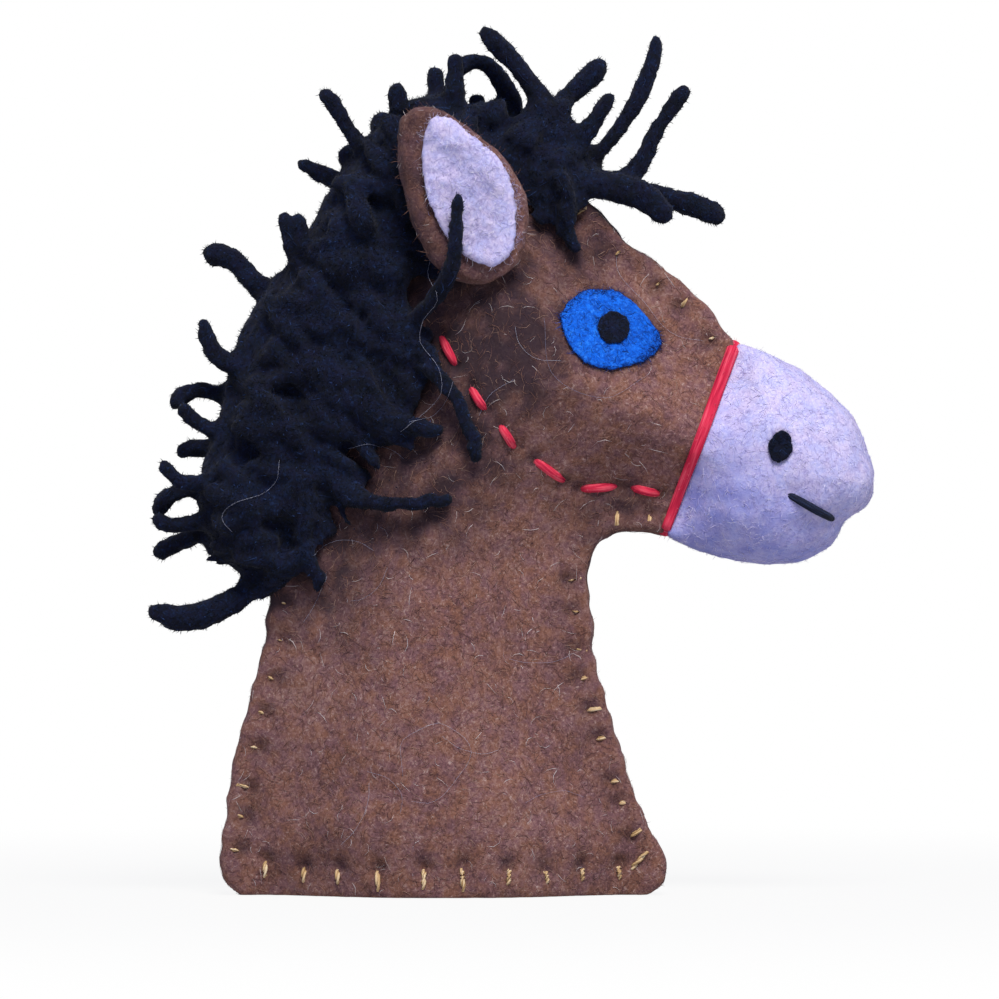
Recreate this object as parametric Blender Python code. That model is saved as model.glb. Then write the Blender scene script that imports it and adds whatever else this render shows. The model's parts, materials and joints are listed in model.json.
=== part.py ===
"""A felt finger puppet: a horse's head and neck, standing on its open hem.

Metres, +Z up. The horse looks along +X and its near side is -Y. The two body
panels meet in the plane y = 0 and the hem stands on z = 0. Flat outlines are
lists of (x, z) in millimetres, seen from the near side.
"""

import random

import bmesh
import bpy
import numpy as np
from mathutils import Vector
from mathutils.geometry import delaunay_2d_cdt

MM = 0.001
NEAR = -1
FAR = 1

# Clearances and felt
touch_gap = 0.0003
patch_gap = 0.00045
felt_thickness = 0.0030
seam_flat = 0.0025
pocket_half_depth = 0.0075
bulge_reach = 0.0200

# Muzzle, its joint with the brown felt, and the noseband over that joint
muzzle_half_depth = 0.0078
muzzle_rounding = 0.0105
muzzle_blend = 0.0070
muzzle_rim = 0.0003
noseband_radius = 0.0008

# Wool stuffing in the head
stuffing_bottom = 0.0470
stuffing_inset = 0.0075
stuffing_clearance = 0.0008
stuffing_trim = 0.98

# Threads
thread_radius = 0.00035
seam_stitch_length = 0.0024
seam_hem_margin = 0.0055
seam_mane_gap = 0.0034
seam_joint_margin = 0.0023
forehead_run = 0.0165
back_pitch = 0.0043
front_pitch = 0.0038
forehead_pitch = 0.0050
hem_strand_height = 0.0010
hem_stitch_top = 0.0034
hem_pitch = 0.0045
hem_first_stitch = -0.0283
hem_stitches = 10
strap_radius = 0.00055
mouth_radius = 0.0005

# Felt patches
eye_thickness = 0.0012
pupil_radius = 0.0019
pupil_thickness = 0.0008
nostril_length = 0.0039
nostril_width = 0.0028
nostril_thickness = 0.0005

# Ears
ear_core = 0.0014
ear_rim = 0.0011
ear_rim_width = 0.0012
ear_hollow_slope = 0.0034
ear_lean = 0.12
ear_foot_depth = 0.0083
ear_foot_height = 0.0700
lining_thickness = 0.0010

# Mane
mane_clearance = 0.0006
bed_thickness = 0.0030
bed_slope = 0.0050
lock_tip_share = 0.72
lock_step = 0.0030
outer_row_locks = 12
inner_row_locks = 8
row_width = 0.0024
row_reach = 0.0092
row_droop = 0.0040
row_root = 0.0032
outer_reach_spread = (0.95, 1.2)
outer_droop_spread = (0.4, 1.3)
inner_droop_spread = (0.6, 1.4)
outer_width_spread = (0.85, 1.2)
inner_width_spread = (0.85, 1.15)
outer_lean_share = 0.25
outer_middle_droop = 0.2
inner_row_start = 0.12
inner_row_run = 0.5
inner_root_share = 0.4
inner_middle_share = 0.3
inner_reach_least = 0.45
inner_reach_swell = 0.75

# Mesh spacings
panel_spacing = 0.0032
patch_spacing = 0.0016
muzzle_spacing = 0.0024
muzzle_rings = (0.25 * muzzle_spacing, 0.75 * muzzle_spacing)
bed_spacing = 0.0034
outline_spacing = 0.0026

# Outline of the head and neck, from the back corner of the hem round to the front corner
nose_top = (25.6, 63.4)
nose_bottom = (17.4, 41.4)
neck_points = [(-31.0, 0.0), (-33.4, 2.6), (-33.2, 6.8), (-31.1, 18.6), (-28.5, 29.0)]
crest_points = [(-27.5, 37.0), (-24.5, 48.0), (-19.2, 61.4), (-14.6, 71.5), (-10.8, 79.8), (-5.2, 85.0)]
forehead_points = [(1.2, 85.3), (7.5, 80.8), (13.6, 74.6), (20.2, 69.7), nose_top]
muzzle_points = [
    nose_top, (30.2, 62.0), (35.1, 59.0), (39.0, 54.8), (41.5, 49.8), (41.5, 46.4), (40.4, 44.3), (38.5, 43.1),
    (37.6, 41.4), (35.8, 39.6), (32.6, 38.3), (27.5, 38.0), (22.5, 39.3), nose_bottom,
]
front_points = [
    nose_bottom, (13.6, 41.8), (10.6, 41.5), (9.2, 39.8), (8.6, 36.6), (9.2, 31.5), (9.4, 27.5), (10.9, 21.6),
    (13.1, 14.7), (15.2, 8.4), (17.5, 4.2), (17.6, 1.8), (15.4, 0.0),
]

# Outlines of the pieces that lie on the head
eye_points = [
    (5.5, 66.3), (7.4, 68.9), (10.1, 69.6), (13.0, 68.8), (15.5, 66.2), (17.2, 63.7), (15.9, 61.7), (11.6, 60.2),
    (8.4, 60.9), (6.4, 63.2),
]
pupil_centre = (11.6, 65.0)
nostril_centre = (30.6, 51.4)
nostril_lean = (0.8, 3.0)
mouth_points = [(31.7, 45.9), (34.2, 44.4), (36.9, 43.0)]
strap_stitches = [
    ((-8.2, 64.2), (-6.4, 60.6)),
    ((-4.8, 58.2), (-3.0, 55.5)),
    ((-1.4, 53.9), (0.3, 51.2)),
    ((2.4, 50.0), (6.1, 47.4)),
    ((7.7, 46.6), (12.1, 46.9)),
    ((13.6, 46.8), (17.0, 46.0)),
]
ear_points = [
    (-8.4, 71.4), (-11.3, 76.6), (-12.9, 83.3), (-12.7, 88.6), (-9.6, 90.2), (-5.4, 88.0), (-0.9, 84.4),
    (1.5, 80.2), (1.7, 75.6), (0.4, 71.8), (-3.6, 69.8),
]
lining_points = [
    (-7.4, 75.2), (-9.6, 79.6), (-10.2, 85.0), (-9.2, 88.6), (-5.6, 86.4), (-2.0, 83.2), (-0.4, 79.2),
    (-0.4, 73.6), (-2.0, 71.8), (-5.0, 72.8),
]

# The matted wool that the locks grow from
bed_points = [
    (-28.4, 34.9), (-24.6, 36.0), (-22.9, 43.0), (-20.4, 48.8), (-14.0, 53.0), (-9.8, 55.6), (-9.2, 59.4),
    (-10.4, 64.0), (-11.2, 69.4), (-10.4, 75.6), (-6.5, 80.2), (-1.5, 80.0), (1.9, 76.6), (5.5, 75.8),
    (9.6, 79.0), (11.6, 81.6), (9.6, 84.6), (5.6, 87.4), (3.2, 89.6), (-1.4, 89.2), (-8.6, 92.6), (-14.0, 89.6),
    (-18.6, 85.2), (-22.0, 79.6), (-26.2, 72.4), (-29.6, 68.2), (-32.4, 62.6), (-33.4, 56.8), (-35.2, 51.0),
    (-36.4, 45.4), (-35.2, 40.8), (-32.6, 37.4),
]

# Free locks: width, y at the root and at the tip, then the route from root to tip
free_locks = [
    (2.4, -1.5, -3.0, [(4.0, 84.5), (3.6, 90.5), (0.3, 95.4), (-3.3, 99.1)]),
    (2.2, 2.0, 1.0, [(0.5, 86.0), (0.0, 91.0), (-2.2, 94.9), (-4.6, 96.0), (-6.4, 94.4)]),
    (2.6, -0.5, 0.5, [(3.8, 84.5), (5.2, 90.2), (7.8, 92.9), (10.4, 95.6)]),
    (2.1, -2.5, -4.5, [(4.8, 83.5), (7.4, 86.3), (9.5, 88.8), (11.2, 91.6)]),
    (1.9, 1.5, 3.5, [(5.5, 82.0), (8.8, 83.9), (13.0, 89.1), (15.7, 94.2), (16.8, 98.7)]),
    (2.0, -1.0, -2.5, [(9.4, 81.6), (13.9, 82.8), (16.4, 87.5), (18.2, 90.2), (20.0, 92.6)]),
    (3.0, -2.5, -4.0, [(4.5, 82.4), (10.1, 81.9), (13.9, 81.0), (16.4, 79.3), (17.8, 77.7)]),
    (2.6, 1.5, 0.5, [(7.5, 82.6), (14.7, 81.2), (20.5, 79.7), (24.4, 77.9)]),
    (2.0, 3.0, 5.0, [(-3.0, 85.6), (-4.1, 91.8)]),
    (2.3, -2.0, -2.5, [(-6.4, 86.5), (-6.6, 92.0), (-6.4, 96.2)]),
    (2.3, 2.0, 3.0, [(-8.3, 86.7), (-8.9, 94.9)]),
    (2.3, -1.0, -3.5, [(-12.3, 84.5), (-13.3, 92.8)]),
    (1.9, -2.0, -4.5, [(-15.0, 83.0), (-18.5, 87.4), (-19.9, 90.0), (-21.6, 92.1)]),
    (1.9, 2.0, 3.5, [(-15.2, 80.8), (-20.4, 82.3), (-22.6, 83.3), (-24.6, 84.3)]),
    (2.5, -3.0, -4.5, [(-22.6, 68.0), (-25.0, 73.0), (-25.3, 78.1)]),
    (2.4, 1.0, 2.5, [(-24.4, 66.8), (-29.2, 70.6), (-31.8, 73.4), (-34.9, 74.1)]),
    (2.1, -2.0, -3.5, [(-26.5, 58.6), (-32.6, 61.0), (-34.8, 63.4), (-35.4, 65.8)]),
    (2.1, 2.0, 0.0, [(-26.0, 55.6), (-31.4, 56.8), (-34.6, 57.8), (-37.2, 57.8), (-38.9, 56.2)]),
    (1.8, -1.0, -2.0, [(-28.0, 52.6), (-32.5, 53.0), (-35.4, 53.8), (-38.0, 56.0)]),
    (2.0, 2.5, 4.0, [(-29.0, 51.2), (-35.9, 51.4), (-38.6, 50.9)]),
    (1.9, -2.5, -4.5, [(-31.0, 48.0), (-36.6, 47.2), (-38.8, 48.0), (-40.0, 49.6)]),
    (2.0, 1.0, 0.5, [(-32.0, 46.8), (-37.4, 46.6), (-39.9, 45.4), (-40.8, 43.8)]),
    (2.0, -1.0, -2.0, [(-31.0, 43.6), (-35.9, 42.8), (-39.4, 42.4), (-40.9, 43.4)]),
    (2.2, 2.0, 3.0, [(-31.0, 42.6), (-37.0, 41.0), (-39.3, 40.1), (-41.0, 39.0)]),
    (2.9, -1.5, -3.5, [(-28.4, 38.2), (-30.6, 34.7), (-35.2, 32.4), (-38.6, 31.9), (-41.5, 32.9)]),
]

# Locks that lie on the felt, from root to tip, with their width
draped_locks = [
    (1.8, [(-13.0, 64.5), (-10.2, 62.4), (-8.4, 59.6), (-6.6, 56.8), (-5.0, 54.0), (-4.6, 49.6)]),
    (2.0, [(-17.5, 56.4), (-13.0, 54.2), (-7.4, 52.9)]),
    (1.8, [(-23.0, 49.4), (-20.4, 47.8), (-16.6, 45.1), (-11.6, 45.0), (-6.7, 45.3)]),
    (1.8, [(-25.8, 47.0), (-24.4, 44.0), (-23.4, 39.3), (-22.0, 34.8)]),
    (2.0, [(5.4, 82.6), (6.2, 78.0), (7.0, 73.6)]),
]
ear_lock_width = 1.8
ear_lock_route = [
    (-14.0, -5.0, 64.0), (-9.4, -9.6, 67.6), (-6.8, -13.0, 72.0), (-6.3, -13.5, 76.8), (-6.1, -14.0, 80.4),
]


def clear_scene():
    """Starts from nothing, whatever the file held."""
    for item in list(bpy.data.objects):
        bpy.data.objects.remove(item)


def new_collection(name):
    """A collection linked to the scene."""
    collection = bpy.data.collections.new(name)
    bpy.context.scene.collection.children.link(collection)
    return collection


clear_scene()
puppet = new_collection("finger_puppet")
cutters = new_collection("cutters")


# Flat geometry

def smooth_step(value):
    """Rises from 0 to 1 with level ends."""
    value = np.clip(value, 0.0, 1.0)
    return value * value * (3.0 - 2.0 * value)


def round_step(value):
    """Rises from 0 to 1 as a quarter of an ellipse."""
    return np.sqrt(1.0 - (1.0 - np.clip(value, 0.0, 1.0)) ** 2)


def run_marks(line):
    """Distance of each point of a polyline from its start, along the line."""
    lengths = np.linalg.norm(np.diff(line, axis=0), axis=1)
    return np.concatenate([[0.0], np.cumsum(lengths)])


def even_points(line, spacing):
    """Points at an even spacing along a polyline, with both of its ends."""
    marks = run_marks(line)
    count = max(2, int(round(marks[-1] / spacing)) + 1)
    places = np.linspace(0.0, marks[-1], count)
    columns = [np.interp(places, marks, line[:, axis]) for axis in range(line.shape[1])]
    return np.column_stack(columns)


def smooth_line(points, spacing, closed=False):
    """Evenly spaced points on a smooth curve through the given ones, which are in millimetres."""
    knots = np.array(points, dtype=float) * MM
    if closed:
        knots = np.vstack([knots[-1], knots, knots[0], knots[1]])
    else:
        knots = np.vstack([2.0 * knots[0] - knots[1], knots, 2.0 * knots[-1] - knots[-2]])
    fine = []
    for before, start, end, after in zip(knots, knots[1:], knots[2:], knots[3:]):
        for t in np.linspace(0.0, 1.0, 12, endpoint=False):
            bend = 2.0 * before - 5.0 * start + 4.0 * end - after
            twist = 3.0 * start - before - 3.0 * end + after
            fine.append(0.5 * (2.0 * start + (end - before) * t + bend * t ** 2 + twist * t ** 3))
    fine.append(knots[-2])
    line = even_points(np.array(fine), spacing)
    return line[:-1] if closed else line


def distance_to(points, line):
    """Distance of each point from a polyline."""
    start = line[:-1]
    step = np.diff(line, axis=0)
    along = ((points[:, None] - start) * step).sum(axis=2) / (step ** 2).sum(axis=1)
    nearest = start + np.clip(along, 0.0, 1.0)[..., None] * step
    return np.linalg.norm(points[:, None] - nearest, axis=2).min(axis=1)


def is_inside(points, outline):
    """Whether each point lies inside a closed outline."""
    x, z = points[:, :1], points[:, 1:]
    end = np.roll(outline, -1, axis=0)
    crosses = (outline[:, 1] > z) != (end[:, 1] > z)
    rise = np.where(crosses, end[:, 1] - outline[:, 1], 1.0)
    meets = outline[:, 0] + (z - outline[:, 1]) * (end[:, 0] - outline[:, 0]) / rise
    return (crosses & (x < meets)).sum(axis=1) % 2 == 1


def closed_line(outline):
    """An outline with its first point repeated at the end."""
    return np.vstack([outline, outline[:1]])


def outward(line):
    """Unit normals of a polyline, pointing to its left as it runs."""
    along = np.gradient(line, axis=0)
    along /= np.linalg.norm(along, axis=1)[:, None]
    return np.column_stack([-along[:, 1], along[:, 0]])


def inset(outline, distance):
    """A closed outline moved inwards, or outwards by a negative distance."""
    closed = np.vstack([outline[-1:], outline, outline[:1]])
    normals = outward(closed)[1:-1]
    moved = outline + normals * distance
    probe = outline + normals * 0.1 * MM
    if is_inside(probe, outline).mean() < 0.5:
        moved = outline - normals * distance
    return moved


def fill(outline, spacing, rings=()):
    """Points and triangles that fill a closed outline: rings inside its rim, then an even grid."""
    edge = closed_line(outline)
    loose = [inset(outline, distance) for distance in rings]
    row_height = 0.866 * spacing
    low = np.floor(outline.min(axis=0) / (spacing, row_height)).astype(int)
    high = np.ceil(outline.max(axis=0) / (spacing, row_height)).astype(int)
    grid = [((column + 0.5 * (row % 2)) * spacing, row * row_height)
            for row in range(low[1], high[1] + 1)
            for column in range(low[0], high[0] + 1)]
    grid = np.array(grid)
    margin = (max(rings) if rings else 0.0) + 0.55 * spacing
    loose.append(grid[is_inside(grid, outline) & (distance_to(grid, edge) > margin)])
    loose = np.vstack(loose)
    loose = loose[is_inside(loose, outline) & (distance_to(loose, edge) > 0.1 * MM)]
    points = np.vstack([outline, loose]) / MM
    border = list(range(len(outline)))
    filled = delaunay_2d_cdt([Vector(point) for point in points], [], [border], 1, 1e-5)
    return np.array([tuple(point) for point in filled[0]]) * MM, filled[2]


# The head and neck as surfaces: depth is measured outwards from the seam plane

back_line = smooth_line(neck_points + crest_points + forehead_points, outline_spacing)
muzzle_line = smooth_line(muzzle_points, 0.7 * outline_spacing)
front_line = smooth_line(front_points, outline_spacing)
sewn_line = np.vstack([back_line, muzzle_line[1:], front_line[1:]])
joint_top = np.array(nose_top) * MM
joint_bottom = np.array(nose_bottom) * MM
joint_along = (joint_bottom - joint_top) / np.linalg.norm(joint_bottom - joint_top)
joint_normal = np.array([-joint_along[1], joint_along[0]])


def edge_distance(points):
    """Distance from the sewn edge, and 0 outside the head and neck."""
    return np.where(is_inside(points, sewn_line), distance_to(points, sewn_line), 0.0)


def panel_inner(points):
    """Depth of a panel's inside face, flat along the seam and bowed round the finger."""
    share = (edge_distance(points) - seam_flat) / (bulge_reach - seam_flat)
    return touch_gap / 2 + pocket_half_depth * smooth_step(share)


def panel_outer(points):
    """Depth of a panel's outside face: the felt keeps its thickness where it slopes."""
    share = np.clip((edge_distance(points) - seam_flat) / (bulge_reach - seam_flat), 0.0, 1.0)
    slope = 6.0 * share * (1.0 - share) * pocket_half_depth / (bulge_reach - seam_flat)
    return panel_inner(points) + felt_thickness * np.sqrt(1.0 + slope ** 2)


def muzzle_outer(points):
    """Depth of the muzzle's surface, which leaves the joint with the panels' depth."""
    rounded = muzzle_rim + muzzle_half_depth * round_step(edge_distance(points) / muzzle_rounding)
    from_joint = (points - joint_top) @ joint_normal
    share = smooth_step(from_joint / muzzle_blend)
    return (1.0 - share) * panel_outer(points) + share * rounded


def stuffing_outer(points):
    """Depth of the wool stuffing, just inside the panels."""
    return panel_inner(points) - stuffing_clearance


# Solids

def material(name, colour, roughness):
    """A plain Principled material, with its colour in linear light."""
    made = bpy.data.materials.new(name)
    made.use_nodes = True
    shader = made.node_tree.nodes["Principled BSDF"]
    shader.inputs["Base Color"].default_value = (*colour, 1.0)
    shader.inputs["Roughness"].default_value = roughness
    return made


brown_felt = material("brown_felt", (0.155, 0.075, 0.055), 0.95)
lilac_felt = material("lilac_felt", (0.50, 0.42, 0.68), 0.95)
white_wool = material("white_wool", (0.75, 0.72, 0.66), 0.95)
blue_felt = material("blue_felt", (0.01, 0.11, 0.53), 0.95)
black_wool = material("black_wool", (0.006, 0.008, 0.018), 0.9)
red_yarn = material("red_yarn", (0.62, 0.03, 0.06), 0.8)
gold_thread = material("gold_thread", (0.58, 0.36, 0.12), 0.5)
dark_thread = material("dark_thread", (0.008, 0.010, 0.030), 0.8)


def add_object(name, mesh, finish, collection=None):
    """Puts a mesh in a collection as an object with its material."""
    made = bpy.data.objects.new(name, mesh)
    (collection or puppet).objects.link(made)
    if finish:
        mesh.materials.append(finish)
    return made


def slab(name, points, triangles, inner, outer, side, finish, collection=None):
    """A closed piece between two depths, over a filled outline: its inside face is extruded."""
    body = bmesh.new()
    start = [body.verts.new((x, side * depth, z)) for (x, z), depth in zip(points, inner(points))]
    for triangle in triangles:
        body.faces.new([start[index] for index in triangle])
    grown = bmesh.ops.extrude_face_region(body, geom=body.faces[:])["geom"]
    lifted = [item for item in grown if isinstance(item, bmesh.types.BMVert)]
    places = np.array([(item.co.x, item.co.z) for item in lifted])
    for item, depth in zip(lifted, outer(places)):
        item.co.y = side * depth
    bmesh.ops.recalc_face_normals(body, faces=body.faces[:])
    mesh = bpy.data.meshes.new(name)
    body.to_mesh(mesh)
    body.free()
    mesh.shade_smooth()
    mesh.set_sharp_from_angle(angle=0.9)
    return add_object(name, mesh, finish, collection)


def tube(name, path, radius, finish, shares=None, cyclic=False, sides=6, collection=None):
    """A round tube along points, as one closed mesh."""
    curve = bpy.data.curves.new(name, "CURVE")
    curve.dimensions = "3D"
    curve.bevel_depth = radius
    curve.bevel_resolution = (sides - 4) // 2
    curve.use_fill_caps = True
    spline = curve.splines.new("POLY")
    spline.points.add(len(path) - 1)
    spline.use_cyclic_u = cyclic
    shares = np.ones(len(path)) if shares is None else shares
    for point, place, share in zip(spline.points, path, shares):
        point.co = (*place, 1.0)
        point.radius = share
    guide = bpy.data.objects.new(name + "_guide", curve)
    cutters.objects.link(guide)
    bpy.context.view_layer.update()
    settled = guide.evaluated_get(bpy.context.evaluated_depsgraph_get())
    mesh = bpy.data.meshes.new_from_object(settled)
    bpy.data.objects.remove(guide)
    body = bmesh.new()
    body.from_mesh(mesh)
    bmesh.ops.remove_doubles(body, verts=body.verts, dist=1e-6)
    bmesh.ops.recalc_face_normals(body, faces=body.faces[:])
    body.to_mesh(mesh)
    body.free()
    mesh.name = name
    mesh.materials.clear()
    mesh.shade_smooth()
    return add_object(name, mesh, finish, collection)


def settle(target):
    """Makes an object's modifiers part of its mesh."""
    bpy.context.view_layer.update()
    shown = target.evaluated_get(bpy.context.evaluated_depsgraph_get())
    result = bpy.data.meshes.new_from_object(shown)
    target.modifiers.clear()
    target.data = result


def union(target, others):
    """Joins bodies that run into each other into one closed solid."""
    group = bpy.data.collections.new(target.name + "_joined")
    for other in others:
        group.objects.link(other)
    modifier = target.modifiers.new("union", "BOOLEAN")
    modifier.operation = "UNION"
    modifier.operand_type = "COLLECTION"
    modifier.collection = group
    settle(target)
    for other in others:
        bpy.data.objects.remove(other)
    bpy.data.collections.remove(group)


def subtract(target, cutter):
    """Cuts one closed solid out of another."""
    modifier = target.modifiers.new("cut", "BOOLEAN")
    modifier.operation = "DIFFERENCE"
    modifier.object = cutter
    settle(target)


def side_name(side):
    """The word that names a side."""
    return "near" if side == NEAR else "far"


def on_surface(route, surface, lift, side):
    """A flat route laid on a surface, with its centre lifted clear of it."""
    depths = surface(route) + lift
    return np.column_stack([route[:, 0], side * depths, route[:, 1]])


# Body panels, stuffing and muzzle

def joint_points(distance):
    """Points down the joint between brown and lilac felt, moved towards the muzzle by a distance."""
    line = np.vstack([joint_top, joint_bottom]) + joint_normal * distance
    return even_points(line, outline_spacing)[1:-1]


def build_panels():
    """The two brown body panels."""
    hem = even_points(np.vstack([front_line[-1], back_line[0]]), outline_spacing)[1:-1]
    outline = np.vstack([back_line, joint_points(0.0), front_line, hem])
    points, triangles = fill(outline, panel_spacing, rings=[seam_flat])
    for side in (NEAR, FAR):
        slab("body_panel_" + side_name(side), points, triangles, panel_inner, panel_outer, side, brown_felt)


def build_stuffing():
    """The wool that fills the head above the finger."""
    shell = np.vstack([back_line, joint_points(0.0)])
    inner_line = shell - outward(shell) * stuffing_inset
    joint_part = len(back_line)
    inner_line[joint_part:] = shell[joint_part:]
    clear = distance_to(inner_line, sewn_line) > stuffing_trim * stuffing_inset
    high = inner_line[:, 1] > stuffing_bottom
    outline = inner_line[clear & high]
    outline = even_points(closed_line(outline), outline_spacing)[:-1]
    points, triangles = fill(outline, panel_spacing)
    slab("head_stuffing", points, triangles, lambda at: -stuffing_outer(at), stuffing_outer, NEAR, white_wool)


def build_muzzle():
    """The felted lilac muzzle."""
    moved = muzzle_line.copy()
    moved[0] = joint_top + joint_normal * touch_gap
    moved[-1] = joint_bottom + joint_normal * touch_gap
    outline = np.vstack([moved, joint_points(touch_gap)[::-1]])
    points, triangles = fill(outline, muzzle_spacing, rings=muzzle_rings)
    slab("muzzle", points, triangles, lambda at: -muzzle_outer(at), muzzle_outer, NEAR, lilac_felt)


def build_noseband():
    """One turn of red yarn over the joint."""
    lift = touch_gap + noseband_radius
    down = even_points(np.vstack([joint_top, joint_bottom]), outline_spacing)
    edge_depth = float(panel_outer(joint_top[None])[0])
    near_side = on_surface(down, panel_outer, lift, NEAR)
    corner = 0.7 * lift

    def end_turn(place, sign):
        """The yarn's way round one end of the joint, from the near side to the far side."""
        out = joint_along * sign
        steps = [(corner, edge_depth + corner), (lift, edge_depth / 2), (lift, 0.0)]
        half = [(*(place + out * reach), depth) for reach, depth in steps]
        near_half = [(x, -depth, z) for x, z, depth in half]
        far_half = [(x, depth, z) for x, z, depth in half[:-1]]
        return near_half + far_half[::-1]

    far_side = near_side[::-1] * (1.0, -1.0, 1.0)
    path = np.vstack([near_side, end_turn(joint_bottom, 1.0), far_side, end_turn(joint_top, -1.0)[::-1]])
    tube("noseband", path, noseband_radius, red_yarn, cyclic=True, sides=6)


# Patches and stitches on the face

def patch(name, outline, surface, thickness, side, finish, spacing=patch_spacing, rim=0.45):
    """A felted patch that follows the surface under it and thins towards its rim."""
    edge = closed_line(outline)
    points, triangles = fill(outline, spacing)

    def back(at):
        """Depth of the patch's back face."""
        return surface(at) + patch_gap

    def front(at):
        """Depth of the patch's front face."""
        share = rim + (1.0 - rim) * round_step(distance_to(at, edge) / (2.0 * thickness))
        return back(at) + thickness * share

    slab(name, points, triangles, back, front, side, finish)
    return front


def oval(centre, width, length, lean, count):
    """A closed oval outline with its long axis along the lean."""
    up = np.array(lean) / np.linalg.norm(lean)
    across = np.array([up[1], -up[0]])
    turns = np.linspace(0.0, 2.0 * np.pi, count, endpoint=False)
    middle = np.array(centre) * MM
    return np.array([middle + across * np.cos(t) * width / 2 + up * np.sin(t) * length / 2 for t in turns])


def build_face(side):
    """Eye, pupil, nostril and mouth stitch of one side."""
    word = side_name(side)
    eye_outline = smooth_line(eye_points, patch_spacing, closed=True)
    eye_front = patch("eye_" + word, eye_outline, panel_outer, eye_thickness, side, blue_felt)
    pupil_outline = oval(pupil_centre, 2 * pupil_radius, 2 * pupil_radius, (0.0, 1.0), 10)
    patch("pupil_" + word, pupil_outline, eye_front, pupil_thickness, side, black_wool)
    nostril_outline = oval(nostril_centre, nostril_width, nostril_length, nostril_lean, 10)
    patch("nostril_" + word, nostril_outline, muzzle_outer, nostril_thickness, side, black_wool)
    mouth_route = smooth_line(mouth_points, 2.5 * mouth_radius)
    path = on_surface(mouth_route, muzzle_outer, touch_gap + mouth_radius, side)
    tube("mouth_stitch_" + word, path, mouth_radius, dark_thread, shares=stitch_shape(len(path)))


def stitch_shape(count):
    """Radius shares along a stitch, whose ends dip into the felt."""
    return 0.55 + 0.45 * np.sin(np.linspace(0.15, 0.85, count) * np.pi)


def build_strap(side):
    """The running stitch of red yarn across the cheek."""
    for number, ends in enumerate(strap_stitches, start=1):
        route = even_points(np.array(ends) * MM, 2.0 * strap_radius)
        path = on_surface(route, panel_outer, touch_gap + strap_radius, side)
        name = "strap_stitch_" + side_name(side) + "_" + str(number)
        tube(name, path, strap_radius, red_yarn, shares=stitch_shape(len(path)))


# Ears

ear_outline = smooth_line(ear_points, 1.3 * patch_spacing, closed=True)


def ear_back(points):
    """Depth of the ear's back: on the head at its foot, then leaning out past the mane."""
    leaning = ear_foot_depth + ear_lean * (points[:, 1] - ear_foot_height)
    return np.maximum(panel_outer(points) + patch_gap, leaning)


def ear_front(points):
    """Depth of the ear's front: a rounded rim round a hollow."""
    from_edge = distance_to(points, closed_line(ear_outline))
    hollow = smooth_step((from_edge - ear_rim_width) / ear_hollow_slope)
    rounding = 0.5 + 0.5 * round_step(from_edge / ear_rim_width)
    return ear_back(points) + (ear_core + ear_rim * (1.0 - hollow)) * rounding


def build_ear(side):
    """One ear and its lilac lining."""
    points, triangles = fill(ear_outline, patch_spacing, rings=[0.5 * ear_rim_width])
    slab("ear_" + side_name(side), points, triangles, ear_back, ear_front, side, brown_felt)
    lining_outline = smooth_line(lining_points, patch_spacing, closed=True)
    patch("ear_lining_" + side_name(side), lining_outline, ear_front, lining_thickness, side, lilac_felt)


# Threads

def part_of(line, start, end):
    """The stretch of a polyline between two distances along it."""
    marks = run_marks(line)
    kept = line[(marks > start) & (marks < end)]
    ends = [np.array([np.interp(mark, marks, line[:, axis]) for axis in (0, 1)]) for mark in (start, end)]
    return np.vstack([ends[0], kept, ends[1]])


def seam_thread(name, line, pitch):
    """Blanket stitch over the sewn edge: a strand along it and a loop over both panels at each stitch."""
    lift = touch_gap + thread_radius
    fine = even_points(line, 0.5 * outline_spacing)
    edge = even_points(line, outline_spacing)
    strand_line = edge + outward(edge) * lift
    strand = np.column_stack([strand_line[:, 0], np.zeros(len(edge)), strand_line[:, 1]])
    thread = tube(name, strand, thread_radius, gold_thread, sides=4)
    normals = outward(fine)
    marks = run_marks(fine)
    count = int((marks[-1] - 2 * thread_radius) / pitch)
    margin = (marks[-1] - count * pitch) / 2
    edge_depth = touch_gap / 2 + felt_thickness
    loops = []
    for number in range(count + 1):
        nearest = int(np.argmin(abs(marks - margin - number * pitch)))
        place, out = fine[nearest], normals[nearest]
        pit = place - out * seam_stitch_length
        pit_depth = float(panel_outer(pit[None])[0]) + lift
        half = [(pit, pit_depth), (place, edge_depth + 1.1 * lift), (place + out * lift, edge_depth + 0.5 * lift)]
        near_half = [(x, -depth, z) for (x, z), depth in half]
        far_half = [(x, depth, z) for (x, z), depth in half]
        middle = [(*(place + out * lift), 0.0)]
        path = near_half + [(x, depth, z) for x, z, depth in middle] + far_half[::-1]
        loops.append(tube(name + "_loop", path, thread_radius, None, sides=4, collection=cutters))
    union(thread, loops)


def hem_thread(side):
    """Blanket stitch along one panel's hem: a strand just above the bottom edge, and short legs."""
    lift = touch_gap + thread_radius
    last_stitch = hem_first_stitch + (hem_stitches - 1) * hem_pitch
    ends = np.array([(hem_first_stitch - 0.4 * hem_pitch, hem_strand_height),
                     (last_stitch + 0.4 * hem_pitch, hem_strand_height)])
    path = on_surface(even_points(ends, outline_spacing), panel_outer, lift, side)
    name = "hem_thread_" + side_name(side)
    thread = tube(name, path, thread_radius, gold_thread, sides=4)
    legs = []
    for number in range(hem_stitches):
        x = hem_first_stitch + number * hem_pitch
        route = even_points(np.array([(x, hem_strand_height), (x, hem_stitch_top)]), 0.5 * hem_stitch_top)
        leg_path = on_surface(route, panel_outer, lift, side)
        legs.append(tube(name + "_leg", leg_path, thread_radius, None, sides=4, collection=cutters))
    union(thread, legs)


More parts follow.
